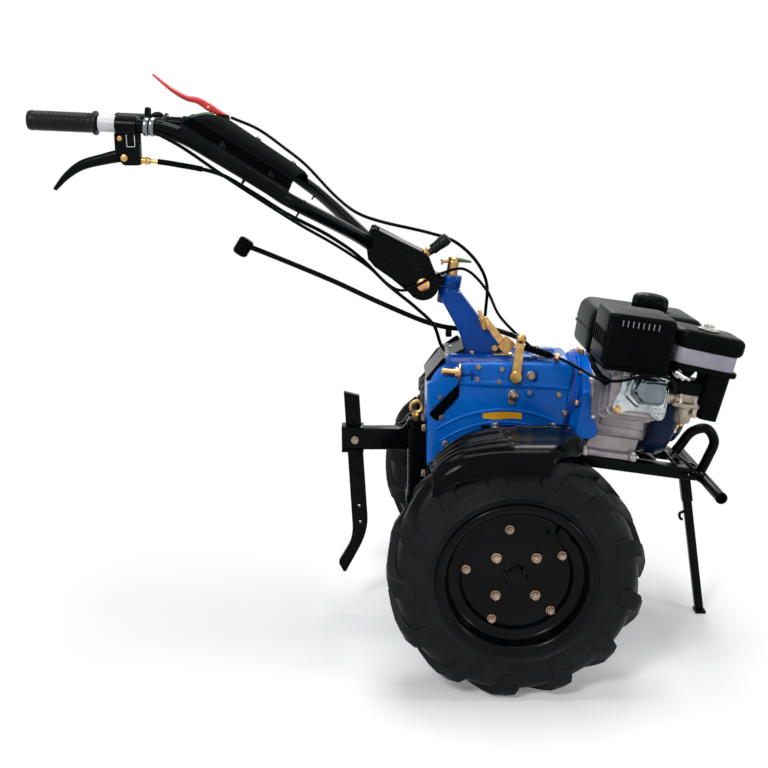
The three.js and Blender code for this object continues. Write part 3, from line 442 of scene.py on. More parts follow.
def tyre(word, side):
    r = TYRE_RADIUS
    half = [
        (r - 12.5, 0), (r - 13, 22), (r - 15.5, 36), (r - 22, 46), (r - 31, 51.5), (r - 42, 53.6),
        (r - 49, 54), (r - 50.5, 55.2), (r - 53, 55.4), (r - 55, 54.2), (164, 53.2), (158, 52.6),
        (156.5, 53.8), (153, 53.8), (151.5, 52.2), (146, 50.4), (141.5, 49.2), (141, 47), (130, 45),
        (128.5, 40), (134, 36), (148, 44), (165, 45), (r - 35, 42), (r - 28, 30), (r - 26, 0),
    ]
    profile = half + [(a, -d) for a, d in reversed(half[1:-1])]
    form = Form()
    form.spin(profile, (0, side * WHEEL_Y, r), (0, side, 0), 120, closed=True)
    for half_side in (1, -1):
        for k in range(LUGS):
            start = 360 / LUGS * (k if half_side > 0 else k + 0.5)
            rings = []
            for (top_out, rise), (base_out, drop), top_half, base_half, lean in LUG_SPINE:
                corners = [(base_out, r - drop, -base_half), (base_out, r - drop, base_half),
                           (top_out, r + rise, top_half), (top_out, r + rise, -top_half)]
                rings.append([axle_point(radius, start + lean + turn, side * (WHEEL_Y + half_side * out))
                              for out, radius, turn in corners])
            form.loft(rings)
    piece(form, f"lugged_tyre_{word}", TYRE, [f"tyre_{word}"], f"wheel_{word}", edge=1.4, sharp=40)


def wheel(word, side):
    tyre(word, side)
    body = f"wheel_{word}"
    middle, out = axle_point(0, 0, side * WHEEL_Y), Vector((0, side, 0))
    from_middle = lambda radius, degrees, distance: axle_point(radius, degrees, side * (WHEEL_Y + distance))
    same_way = lambda degrees: degrees if side < 0 else 180 - degrees
    front = [(139, 55.5), (134, 55.5), (127, 53), (123.5, 48), (122, 40), (121.5, 33), (118.5, 27.5),
             (113, 24.8), (104, 24), (99, 25.2), (95.5, 28), (92, 29.2), (66, 29.5), (62, 28), (24, 28),
             (20, 27)]
    back = [(20, 24), (62, 24), (92, 25), (97, 22), (104, 20), (114, 20.6), (120, 23), (121.5, 15),
            (121.5, -42), (123.5, -48), (127, -53), (134, -55.5), (139, -55.5), (141, -53.5), (139, -51),
            (130, -50), (126.8, -46), (126.8, 46), (130, 50), (139, 51), (141, 53.5)]
    disc = Form()
    disc.spin(front + back, middle, out, 96, closed=True)
    piece(disc, f"wheel_disc_{word}", DISC_BLACK, [f"rim_{word}"], body, sharp=50)

    hub = Form()
    hub.spin([(20, 21), (64, 21), (66, 20.4), (66, 19), (20, 19)], middle, out, 48, closed=True)
    hub.spin([(19, -48), (26, -48), (27, -46), (27, 8), (31, 12), (64, 12), (66, 13), (66, 19.5),
              (19, 19.5)], middle, out, 48, closed=True)
    for angle in (0, 90, 180, 270):
        hub.rod(from_middle(29, angle, -20), from_middle(46, angle, 12), 5, 7, 12)
    hub.bolt(from_middle(27, 90, -34), UP, 13, 7)
    piece(hub, f"hub_{word}", BLACK, [f"wheel_hub_{word}"], body)

    shaft = Form()
    corner = 17
    shaft.spin([(corner - 1, 45 - WHEEL_Y), (corner, 47 - WHEEL_Y), (corner, 35), (corner - 2, 37)], middle,
               out, 6)
    shaft.spin([(10, 36.5), (10, 37.3), (6, 37.3), (5, 34)], middle, out, 20)
    piece(shaft, f"hex_shaft_{word}", STEEL, [f"half_shaft_{word}"], body, sharp=25)
    cap = Form()
    cap.spin([(corner - 4, 34.6), (corner + 0.4, 35.4), (corner + 0.6, 37.4), (corner - 2, 38.6), (6, 38.8)],
             middle, out, 6)
    piece(cap, f"hub_cap_{word}", DISC_BLACK, body=body, sharp=25)

    nuts = [(from_middle(OUTER_NUTS, same_way(98.7 + 72 * k), 29.2), out, 12, 6, 5) for k in range(5)]
    nuts += [(from_middle(INNER_NUTS, 45 + 90 * k, 28), out, 13.5, 7, 3) for k in range(4)]
    bolted(f"wheel_nuts_{word}", BOLT, nuts, body=body)
    foot, tip = from_middle(118, same_way(53), 31), from_middle(107, same_way(53), 46)
    stem = Form()
    stem.rod(foot, foot.lerp(tip, 0.75), 4.2, 3.2, 14)
    stem.rod(foot.lerp(tip, 0.7), tip, 3.4, 3.0, 14)
    piece(stem, f"valve_stem_{word}", PLASTIC, body=body)


# ---- gearbox, bell and what is bolted to them ------------------------------------------
CASE_HALF = 75
CASE_TOP = 556
CASE_BOLTS = [  # x, z, size across
    (-50, 545, 8), (-52, 520, 7), (-5, 540, 7), (-10, 516, 7), (51, 528, 13), (49, 494, 6.5), (-124, 487, 8),
    (-121, 446, 8.5), (-112, 392, 9), (-134, 348, 10), (106, 490, 8), (118, 454, 8),
]
PLUG_X, PLUG_HEIGHT = 17, 488


def gearbox():
    form, upper = Form(), Form()
    face = lambda z: CASE_FRONT - 2 + (z - CRANK_HEIGHT) * math.tan(NOSE_DOWN)
    walls = [(-147, 335), (-147, 500), (-124, 538), (-82, 553), (face(553), 553), (face(408), 408),
             (66, 374), (47, 300)]
    boss = arc((0, TYRE_RADIUS), 50, 0, -180, 18)
    body = rounded(walls, 16, 4) + [(50, 232)] + boss[1:-1] + [(-50, 232), (-64, 262)]
    form.plate(body, 9 - CASE_HALF, CASE_HALF - 9, chamfer=0.01)
    for sign in (-1, 1):
        form.loft([[(a, sign * y, b) for a, b in shrink(body, inset)]
                   for y, inset in ((CASE_HALF, 9), (CASE_HALF - 2.5, 3.5), (CASE_HALF - 9, 0.5))])
        # the horizontal input housing bulges above a ledge
        form.tube([(-116, sign * 67, 514), (-40, sign * 69, 511), (40, sign * 69, 508),
                   (124, sign * 67, 503)], 9, 18, 6)
        upper.rod((-112, sign * 41, 530), (116, sign * 41, 526), 34.4, 33, 44, 9)
        upper.spin([(34, -5), (36, -3), (36, 3), (34, 5)], (60, sign * 41, 527), AHEAD, 44)
        upper.spin([(34, -3), (35.6, -1.5), (35.6, 1.5), (34, 3)], (-62, sign * 41, 529), AHEAD, 44)
        upper.spin([(14, 0), (14, 5), (12, 6)], (21, sign * 72, 527), (0, sign, 0), 32)
        # casting flange round the final drive, concentric with the axle
        for radius, start, end, thick in ((232, 124, 62, 4.2), (208, 126, 66, 3.4)):
            sweep = arc((0, TYRE_RADIUS), radius, start, end, 26)
            form.tube([(a, sign * (CASE_HALF - 1.5), b) for a, b in sweep], thick, 10, 2)
        form.spin([(15, 0), (15, 2), (12.5, 3.4)], (PLUG_X, sign * 73.6, PLUG_HEIGHT), (0, sign, 0), 36)
        form.spin([(11, 0), (11, 2), (9, 3)], (49, sign * 73.6, 494), (0, sign, 0), 30)
    for x in (-60, 0, 60):
        form.block((x - 3, x + 3), (-52, 52), (552, CASE_TOP - 0.5), 1.2)
    form.rod((-148.5, 0, 420), (-145, 0, 420), 34, 32, 36, 1)
    piece(form, "gearbox_casting", BLUE, ["gearbox_case"], sharp=42)
    # The input housing takes the darker blue: painted shade.
    piece(upper, "input_housing", SHADED_BLUE, ["gearbox_case"], sharp=42)
    bolts = [((x, sign * (CASE_HALF + 0.6), z), (0, sign, 0), across, across * 0.45)
             for x, z, across in CASE_BOLTS for sign in (-1, 1)]
    bolts += [((x, y, CASE_TOP - 1), UP, 11, 5) for x in (-72, -28, 30, 74) for y in (-46, 46)]
    bolted("case_bolts", BOLT, bolts)

    plug = Form()
    plug.ring((PLUG_X, -80, PLUG_HEIGHT + 5), (0, 1, 0), 6, 2.2)
    plug.spin([(9.6, 0), (9.6, 3), (8, 4)], (PLUG_X, -76.8, PLUG_HEIGHT), (0, -1, 0), 28)
    plug.rod((15, -76, 476), (15, -80, 476), 6.5, 5.5, 24, 1.2)
    piece(plug, "level_plug", BOLT)
    plate = Form()
    wave = [(x, 458.2 + 1.2 * math.sin(x / 9)) for x in range(-40, 40, 4)]
    plate.plate(wave + [(x, z - 16.4) for x, z in reversed(wave)], -75.9, -75.1)
    piece(plate, "blank_maker_plate", ORANGE)


def bell():
    flange = Form(ENGINE)
    for low, high in ((-7, -0.4), (0.4, 6)):
        flange.plate(bell_outline(88), low, high, "yz", chamfer=1)
    piece(flange, "case_flange", BLUE, sharp=40)
    gasket = Form(ENGINE)
    gasket.plate(bell_outline(88.6), -0.5, 0.5, "yz")
    piece(gasket, "case_gasket", GASKET)
    form = Form(ENGINE)
    form.spin([(60, 5), (80, 6), (80, 9), (76, 12), (72, 20), (72, 26), (78, 28), (79, 32.5), (60, 33)],
              (0, 0, 0), AHEAD, 64)
    skirt = rounded([(-79, -74), (79, -74), (79, -8), (64, 52), (-64, 52), (-79, -8)], 16, 5)
    form.plate(skirt, 24, 33, "yz", chamfer=1.6)
    form.loft([[(x, y * s, z * s + lift) for y, z in skirt]
               for x, s, lift in ((6, 0.9, 4), (12, 0.93, 3), (20, 0.98, 0.5), (25, 0.99, 0))])
    cheek = [(18, 18), (32, 18), (38, -8), (48, -32), (60, -54), (61, -66), (52, -76), (18, -79)]
    for low, high in ((-82.5, -71), (71, 82.5)):
        form.plate(rounded(cheek, 6, 4), low, high, chamfer=3)
    piece(form, "bell_housing", BLUE, ["clutch_housing"])
    bolts = [(crank_point(6, 81, 45 * k + 6), AHEAD, 10, 5) for k in range(8)] + [((16, 0, 72), UP, 13, 8)]
    bolted("bell_bolts", PINK_GOLD, bolts, ENGINE)


def axle_housing(word, side):
    form = Form()
    profile = [(18, 0), (46, 0), (46.5, 2), (46.5, 8), (45, 10), (37, 11.5), (32, 18), (29, 34), (27, 62),
               (26.5, 74.6), (18, 74.6)]
    form.spin(profile, (0, side * (CASE_HALF + 0.4), TYRE_RADIUS), (0, side, 0), 56, closed=True)
    for k in range(6):
        angle = 60 * k + 30
        form.rod(axle_point(40, angle, side * 84), axle_point(27, angle, side * 130), 4, 2.5, 10)
    # The axle casting takes the darker blue: painted shade.
    piece(form, f"axle_casting_{word}", SHADED_BLUE, [f"axle_housing_{word}"])
    bolts = [(axle_point(40, 60 * k, side * 85.4), (0, side, 0), 10, 5) for k in range(6)]
    bolted(f"axle_bolts_{word}", BOLT, bolts)


def shrink(outline, inset):
    """The outline with each point moved inwards."""
    count = len(outline)
    area = sum(outline[i - 1][0] * outline[i][1] - outline[i][0] * outline[i - 1][1] for i in range(count))
    sign = 1 if area > 0 else -1
    result = []
    for i in range(count):
        along = Vector(outline[(i + 1) % count]) - Vector(outline[i - 1])
        inward = Vector((-along.y, along.x)).normalized() * sign
        result.append(tuple(Vector(outline[i]) + inward * inset))
    return result


def bell_outline(radius):
    """The bell's flange, with a slight swell near each of its eight bolts."""
    points = []
    for i in range(48):
        turn = 2 * math.pi * i / 48
        reach = radius * 0.86 * (1 + 0.03 * math.cos(8 * turn))
        points.append((reach * math.cos(turn), reach * math.sin(turn) - 4))
    return points


# ---- mudguards and hitch ---------------------------------------------------------------
GUARD_RISE = [  # distance from the machine's middle, height, front edge
    (75.4, 427, 140), (110, 434.5, 139.4), (150, 446, 138), (190, 458, 134), (225, 465, 128),
    (300, 466, 108), (338, 466, 80), (352, 461, 64), (361, 450, 56), (366, 438, 50), (367.6, 424.5, 45.5),
]
GUARD_RUN = [  # x, how far the sheet has fallen there beside the case and at its outer edge
    (-148, -92, -36), (-136, -78, -27), (-125, -64, -20), (-98, -33, -8), (-64, -11, -3), (-40, -3.5, -1),
    (-19, 0, 0), (10, 0, 0), (40, 0, 0),
]
GUARD_BEND = 40
GUARD_THICK = 2.4
GUARD_EDGE = 2.2
FRONT_STEPS = 16
SWAGES = (242, 276, 310, 340)
SWAGE_HEIGHT, SWAGE_HALF = 6.5, 9


def share(value, start, end):
    """How far a value has gone from start to end, from nought to one."""
    return min(1.0, max(0.0, (value - start) / (end - start)))


def guard_height(x, rise, run):
    """The mudguard's height: it falls away behind and at its front edge, and has swages along it."""
    distance, height, front = rise
    behind = run.y + (run.z - run.y) * (distance - CASE_HALF) / 293
    ahead = max(0.0, (x - GUARD_BEND) / max(front - GUARD_BEND, 1))
    ease = min(1.0, (front - GUARD_BEND) / 60)
    bulge = sum(math.sqrt(max(0.0, 1 - ((distance - s) / SWAGE_HALF) ** 2)) for s in SWAGES)
    swage = SWAGE_HEIGHT * bulge * share(x, -148, -134) * share(x, -8, -26)
    shelf = share(x, 6, 20) * share(ahead, 1, 0.65)
    fold = 4.5 * shelf * (math.tanh((distance - 128) / 4) - math.tanh((distance - 205) / 5)) / 2
    return height + behind - 22 * ease * ahead ** 4 + swage + fold


def mudguard(word, side):
    across = smooth_path(GUARD_RISE, 22)
    run = smooth_path(GUARD_RUN, 5)
    run += [run[-1]] * FRONT_STEPS
    form = Form()
    tops = []
    for k, at in enumerate(run):
        step = max(0, k - len(run) + FRONT_STEPS + 1) / FRONT_STEPS
        top = []
        for rise in across:
            x = at.x + (rise.z - GUARD_BEND) * step
            top.append(Vector((x, side * rise.x, guard_height(x, rise, at))))
        tops.append(top)
    form.loft([top + [p - UP * GUARD_THICK for p in reversed(top)] for top in tops])
    for edge in ([top[-1] for top in tops], tops[0], tops[-1]):
        form.tube([p - UP * GUARD_THICK / 2 for p in edge], GUARD_EDGE, 8, 1)
    form.plate([(-40, 421), (122, 421), (126, 429), (-44, 429)], *sorted((side * 75.4, side * 78.4)))
    piece(form, f"mudguard_sheet_{word}", GUARD_BLACK, [f"mudguard_{word}"], sharp=50)
    bolted(f"mudguard_bolts_{word}", STEEL, [((x, side * 88, 430), UP, 12, 6) for x in (-17, 95)])
    stays = Form()
    for x in (-40, 30):
        stays.tube([(x, side * y, z) for y, z in ((76, 408), (120, 422), (230, 452), (246, 457))], 5, 10, 5)
    piece(stays, f"mudguard_stays_{word}", BLACK)


HITCH_PIN_X = -165
BAR_REAR = -316
COULTER_X, COULTER_PIN_HEIGHT = -290, 380
COULTER_LEAN = 0.055
COULTER_HALF = 6


def hitch():
    box = Form()
    outline = rounded([(-183, -28), (-183, 28), (-147.4, 28), (-147.4, -28)], 4)
    box.plate(outline, 248, 424, "xy", holes=[(HITCH_PIN_X, 0, 9)])
    for low, high in ((408, 420), (252, 268)):
        box.block((-186, -180), (-32, 32), (low, high), 1.5)
    gusset = rounded([(-206, 404.4), (-192, 410), (-184, 424), (-174, 430), (-172, 404.4)], 3, 3)
    for low in (-24, 17):
        box.plate(gusset, low, low + 7)
    box.block((-150, -146.6), (-44, 44), (300, 430), 1)
    piece(box, "hitch_socket", BLACK, ["hitch_box"], edge=1.2)
    bar = Form()
    bar.block((BAR_REAR, -183.3), (-15, 15), (360, 404), 3, 3)
    for low in (356, 403):
        bar.block((BAR_REAR, -272), (-20, 20), (low, low + 5), 1.2)
    piece(bar, "hitch_drawbar", BLACK, ["hitch_bar"])

    at = lambda z: COULTER_X + (382 - z) * COULTER_LEAN
    heel = at(180)
    outline = [(at(478) - 16, 478), (at(478) + 15, 470)]
    outline += bend((at(214) + 16, 214), (at(184) + 16, 184), (heel - 2, 148))
    outline += [(heel - 31, 93), (heel - 36, 93), (heel - 45, 110), (heel - 45, 117)]
    outline += bend((heel - 26, 150), (heel - 16, 168), (at(196) - 16, 196))
    coulter = Form()
    coulter.plate(outline, -COULTER_HALF, COULTER_HALF, holes=[(at(z), z, 3.2) for z in (237, 202)])
    piece(coulter, "depth_bar", BLACK, ["depth_coulter"], edge=0.9)
    dark = Form()
    for z in (450, 415, 343, 307, 271):
        dark.rod((at(z), -COULTER_HALF - 0.3, z), (at(z), COULTER_HALF + 0.3, z), 3.6, 3.6, 20, 0.1)
    piece(dark, "coulter_hole_shadows", PAINTED_SHADE)
    bolts = [((at(382) + 1, side * 15, COULTER_PIN_HEIGHT), (0, side, 0), 12, 5) for side in (-1, 1)]
    bolts += [((-149, y, z), -AHEAD, 13, 6) for z in (318, 412) for y in (-36, 36)]
    bolted("hitch_bolts", BOLT, bolts)
    pin = Form()
    pin.rod((HITCH_PIN_X, 0, 246), (HITCH_PIN_X, 0, 432), 8.2, 8.2, 24)
    pin.rod((HITCH_PIN_X, 0, 430), (HITCH_PIN_X, 0, 436), 11, 7, 24, 1)
    pin.ring((HITCH_PIN_X, 0, 446), (0, 1, 0), 11.5, 4.2)
    piece(pin, "hitch_pin", GOLD)


# ---- engine ----------------------------------------------------------------------------
def crankcase():
    form = Form(ENGINE)
    outline = rounded([(-72, -70), (72, -70), (80, -56), (68, 56), (60, 60), (-58, 60), (-76, 26), (-80, 0),
                       (-80, -56)], 14, 5)
    form.plate(outline, 37, 156, "yz", chamfer=3)
    form.plate([(y * 0.95, z * 0.95) for y, z in outline], 33.4, 40, "yz")
    form.plate(rounded([(44, -98), (142, -98), (150, -56), (54, -56)], 8, 4), -70, 70, chamfer=2)
    foot = rounded([(-80, -110), (80, -110), (80, -99), (70, -94), (-70, -94), (-80, -99)], 4, 3)
    form.plate(foot, 34, 146, "yz", chamfer=1.6)
    form.rod((38, -62, -50), (38, -62, 44), 12, 12, 24, 4)
    form.rod((44, -79, 18), (152, -79, 14), 3.4, 3.4, 14)
    form.block((60, 150), (-83, -76), (-46, 4), 4, 3)
    form.spin([(40, 0), (66, 1), (70, 5), (70, 12), (66, 14), (40, 14)], (96, 80, -10), (0, -1, 0), 48)
    for x in (62, 98, 134):
        form.block((x - 2, x + 2), (70, 82.5), (-96, 10), 1.2)
    feet = [(x, y) for x in (42, 138) for y in (-78, 78)]
    for x, y in feet:
        form.spin([(9, 0), (9, 9), (7.5, 11)], (x, y, -108), UP, 24)
    # side cover with its rim of bolt bosses
    rim = rounded([(44, -60), (44, 6), (70, 30), (134, 30), (152, 6), (152, -60)], 12, 4)
    form.plate(rim, 78, 82.5, chamfer=1)
    for x, z in rim[::5]:
        form.spin([(6.5, 0), (6.5, 4), (5, 5)], (x, 80, z), (0, 1, 0), 16)
    piece(form, "crankcase_casting", CAST, ["crankcase"], sharp=40)
    bolts = Form(ENGINE)
    for x, z in rim[::5]:
        bolts.bolt((x, 84.6, z), (0, 1, 0), 9, 4, washer=False)
    for x, y in feet:
        bolts.bolt((x, y, -97.4), UP, 12, 6)
    for x, y, z in ((50, -81, 40), (46, -80, -30)):
        bolts.bolt((x, y, z), (0, -1, 0), 8, 4)
    piece(bolts, "crankcase_bolts", STEEL, sharp=25)
    filler = Form(ENGINE)
    filler.spin([(12, 0), (12, 6), (15, 8), (15, 16), (12, 19), (6, 19)], (44, 78, -78), (0, 1, 0.25), 26,
                swell=lambda a: 1 + 0.04 * math.cos(8 * a))
    piece(filler, "oil_filler", PLASTIC)


def steps_out(form, outline, steps):
    """A raised shape in the xz plane that shrinks by each step's inset, as (inset, y)."""
    form.loft([[(a, y, b) for a, b in (shrink(outline, inset) if inset else outline)] for inset, y in steps])


def cylinder_head():
    form = Form(CYLINDER)
    form.block((-44, 44), (-186, -70), (-40, 40), 5, 3)
    for k in range(12):
        y = -80 - k * 8.2
        wide, tall = (52, 48) if k < 8 else (50, 44)
        form.plate(rounded([(-wide, -tall), (wide, -tall), (wide, tall), (-wide, tall)], 12, 3), y - 1.3,
                   y + 1.3)
    form.plate(rounded([(-46, -38), (46, -38), (46, 38), (-46, 38)], 10, 3), -190, -176)
    for x in (-42, 42):
        for z in (-34, 34):
            form.rod((x, -190, z), (x, -74, z), 7, 7, 16)
    piece(form, "finned_cylinder", CAST, ["cylinder_head"], sharp=40)

    place = CYLINDER @ Matrix.Translation((9, 0, 3))
    cover = Form(place)
    ears = [(-46, -40), (-34, -42), (-24, -34), (20, -33), (30, -44), (43, -44), (49, -34), (50, -4),
            (50, 28), (42, 40), (-30, 42), (-38, 34), (-38, 4), (-49, -22)]
    cover.plate(rounded(ears, 6, 3), -198, -190.4, chamfer=1.2)
    rim = rounded([(-31, -8), (-22, 37), (44, 36), (46, 0), (43, -24), (-8, -26)], 6, 3)
    steps_out(cover, rim, ((0, -196), (0, -203), (2.4, -205.6), (5, -206), (9, -204.6)))
    piece(cover, "rocker_cover", POLISHED, ["valve_cover"], sharp=38)
    # The raised top is drawn in darkened polish: a painted dark reflection.
    dome = Form(place)
    top = rounded([(-21, 2), (-11, 31), (38, 30), (40, 4), (37, -16), (-2, -18)], 5, 3)
    steps_out(dome, top, ((0, -203), (0, -213), (1.2, -217), (4, -221), (6, -221.6)))
    piece(dome, "rocker_cover_dome", POLISH_PAINTED_DARK, sharp=38)
    bolted("rocker_cover_gold_bolt", GOLD, [((-40, -198, -34), (0, -1, 0), 11, 5)], place)
    bolted("rocker_cover_bolts", STEEL, [((x, -198, z), (0, -1, 0), 10, 4.5)
                                         for x, z in ((38, -37), (43, 33), (-31, 35))], place)
    plug = Form(CYLINDER)
    plug.rod((-50, -178, 16), (-72, -184, 26), 7.5, 6.5, 20, 1.5)
    plug.rod((-66, -182, 24), (-80, -170, 44), 6, 5, 18, 1.5)
    plug.tube([(-79, -170, 43), (-84, -150, 60), (-76, -110, 66), (-40, -78, 62)], 3.2, 10, 8)
    piece(plug, "spark_plug_lead", PLASTIC)


FAN_START = 168.4
FAN_FACE = FAN_START + 42.5
COWL_BOLTS = 99  # radius of their circle


def fan():
    form = Form(ENGINE)
    start, face = FAN_START, FAN_FACE
    form.spin([(60, -13), (101, -13), (106, -11), (107.6, -6), (107.6, 24), (104, 32), (94, 38), (84, 41.6),
               (60, 42)],
              (start, 0, 0), AHEAD, 80, swell=lambda a: 1 - 0.012 * max(0, math.cos(2 * a)) ** 4)
    form.block((start + 2, start + 26), (-96, -40), (70, 96), 5, 3)
    angles = [60 * k + 20 for k in range(6)]
    for angle in angles:
        form.rod(crank_point(start + 20, COWL_BOLTS, angle), crank_point(start + 33, COWL_BOLTS, angle), 8,
                 7, 18, 1.5)
    piece(form, "fan_cowl", NAVY, ["fan_housing"], sharp=40)
    cover = Form(ENGINE)
    cover.spin([(50, 0), (81.5, 0), (81.5, 4), (78, 12), (70, 18), (52, 20.5), (50, 20.5)], (face, 0, 0),
               AHEAD, 72, closed=True)
    cover.spin([(22, 12), (34, 20), (34, 24), (30, 25.5), (12, 25.8), (2, 25.8)], (face, 0, 0), AHEAD, 48)
    lean = math.degrees(0.25)
    for k in range(18):
        cover.rod(crank_point(face + 18, 30, 20 * k), crank_point(face + 18, 55, 20 * k + lean), 2.6, 2.6, 8,
                  0.6)
    cover.spin([(28, 16), (54, 16), (54, 17), (28, 17)], (face - 8, 0, 0), AHEAD, 40, closed=True)
    piece(cover, "recoil_cover", NAVY, ["recoil_starter"], sharp=40)
    # A dark disc behind the cover's vents is painted shade inside it.
    dark = Form(ENGINE)
    dark.spin([(4, 3), (52, 3), (52, 4), (4, 4)], (face, 0, 0), AHEAD, 40, closed=True)
    piece(dark, "recoil_painted_shade", PAINTED_SHADE)
    pull = Form(ENGINE)
    pull.block((face + 2, face + 22), (58, 92), (36, 50), 5, 4)
    pull.rod((face + 10, 60, 40), (face + 8, 40, 30), 1.8, 1.8, 10)
    piece(pull, "recoil_handle", PLASTIC)
    bolts = [(crank_point(start + 33, COWL_BOLTS, angle), AHEAD, 9, 4) for angle in angles]
    bolts += [(crank_point(face + 11, 76, 120 * k + 50), AHEAD, 9, 4) for k in range(3)]
    bolted("cowl_bolts", STEEL, bolts, ENGINE)


def rounded_box(form, x, y, z, radius, corner, levels=6, taper=0.0):
    """A moulded box: rounded corners seen from above and eased top and bottom edges."""
    rings = []
    steps = [k / levels * math.pi / 2 for k in range(levels + 1)]
    profile = [(corner * (1 - math.sin(a)), z[0] + corner * (1 - math.cos(a))) for a in steps]
    profile += [(corner * (1 - math.cos(a)) + taper, z[1] - corner * (1 - math.sin(a))) for a in steps]
    for inset, height in profile:
        inset = min(inset, radius * 0.9)
        low_x, high_x, low_y, high_y = x[0] + inset, x[1] - inset, y[0] + inset, y[1] - inset
        loop = rounded([(low_x, low_y), (high_x, low_y), (high_x, high_y), (low_x, high_y)],
                       max(radius - inset, 2), 5)
        rings.append([(a, b, height) for a, b in loop])
    form.loft(rings)


CAP_AT = (150, 60)
SLOTS, SLOT_PITCH = 8, 9.2


def tank_and_shield():
    form = Form(ENGINE)
    rounded_box(form, (21, 250), (-30, 150), (108, 172), 34, 24, taper=2)
    rounded_box(form, (23, 162), (-28, 148), (76, 130), 30, 14)
    rounded_box(form, (19.5, 251.5), (-31.5, 151.5), (118, 124), 34, 2.6, levels=3)
    for x in (50, 140):
        form.block((x - 10, x + 10), (4, 46), (60.3, 82), 2)
    form.spin([(44, 0), (43, 3), (36, 5)], (*CAP_AT, 170), UP, 48)
    piece(form, "tank_moulding", PLASTIC, ["fuel_tank"], sharp=40)
    cap = Form(ENGINE)
    cap.spin([(30, 0), (35, 0.5), (36, 3), (36, 17), (34.5, 22), (30, 26.5), (20, 29.6), (8, 31), (1, 31.4)],
             (*CAP_AT, 172.4), UP, 96, swell=lambda a: 1 + 0.022 * max(-0.4, math.cos(12 * a)))
    piece(cap, "tank_cap", PLASTIC, ["fuel_cap"], sharp=50)

    shield = Form(ENGINE)
    rounded_box(shield, (7, 130), (-235, -107), (101, 196), 20, 9)
    shield.block((11, 126), (-231, -111), (94, 104), 3)
    shield.rod((80, -140, 62), (80, -140, 98), 17, 19, 28)
    shield.plate([(58, -166), (102, -166), (102, -116), (58, -116)], 62, 68, "xy")
    for k in range(SLOTS):
        x = 26 + k * SLOT_PITCH
        shield.rod((x, -234.6, 174), (x + 0.6, -234.6, 187), 2.1, 2.1, 12, 1)
    for k in range(6):
        y = -216 + k * 18
        shield.rod((7.4, y, 130), (7.4, y, 160), 2.4, 2.4, 12, 1)
    shield.block((10, 30), (-238, -232), (104, 180), 2.5)
    shield.rod((104, -170, 94), (104, -170, 84), 12, 12, 24)
    piece(shield, "muffler_shield", SHIELD, ["muffler"], sharp=40)
    slits = Form(ENGINE)
    for k in range(SLOTS):
        x = 30.6 + k * SLOT_PITCH
        slits.block((x - 0.8, x + 0.8), (-235.4, -234.4), (175, 186), 0.4)
    piece(slits, "shield_slits", BAND)
    bolted("shield_screws", STEEL, [((92, -160, 68), UP, 11, 6), ((66, -124, 68), UP, 11, 6)], ENGINE)


AIR_CLEANER = ENGINE @ Matrix.Translation((-15, 0, 20)) @ Matrix.Rotation(math.radians(4), 4, "Y")
INLET_Y = -172  # middle of the carburettor and the air cleaner


def air_cleaner():
    cover = Form(AIR_CLEANER)
    rounded_box(cover, (143, 266), (-222, -122), (140, 174), 22, 12)
    cover.block((200, 210), (-224, -218), (142, 168), 2)
    cover.rod((204, INLET_Y, 172), (204, INLET_Y, 176), 24, 20, 36, 1.5)
    piece(cover, "filter_cover", PLASTIC, ["air_cleaner"])
    band = Form(AIR_CLEANER)
    rounded_box(band, (146, 258), (-219, -125), (112, 141), 20, 1.5, levels=2)
    piece(band, "filter_band", BAND)
    bowl = Form(AIR_CLEANER)
    rounded_box(bowl, (143.5, 265.5), (-221.5, -122.5), (103, 113.5), 22, 3, levels=3)
    rings = []
    for t, height in ((0.0, 106), (0.04, 98), (0.5, 60), (0.94, 24), (1.0, 19), (1.06, 16.5)):
        half_x, half_y = 21.5 - 3.5 * t, 38 - 9 * t
        middle = 235.5 + 4.5 * t
        corners = [(middle + a * half_x, INLET_Y + b * half_y)
                   for a, b in ((-1, -1), (1, -1), (1, 1), (-1, 1))]
        rings.append([(a, b, height) for a, b in rounded(corners, 12, 5)])
    bowl.loft(rings[::-1])
    bowl.block((248, 262), (-190, -154), (84, 106), 4, 3)
    bowl.rod((176, INLET_Y, 104), (170, INLET_Y, 78), 26, 20, 28, 3)
    piece(bowl, "filter_bowl", PLASTIC)
    nut = Form(AIR_CLEANER)
    nut.spin([(19, 0), (19, 1.2), (15, 2.6), (8, 3)], (204, INLET_Y, 175.6), UP, 36)
    nut.rod((204, INLET_Y, 176), (204, INLET_Y, 187), 3, 2.6, 14)
    nut.block((194, 214), (-174, -170), (180, 185.6), 1.6, 3)
    piece(nut, "filter_wing_nut", STEEL)


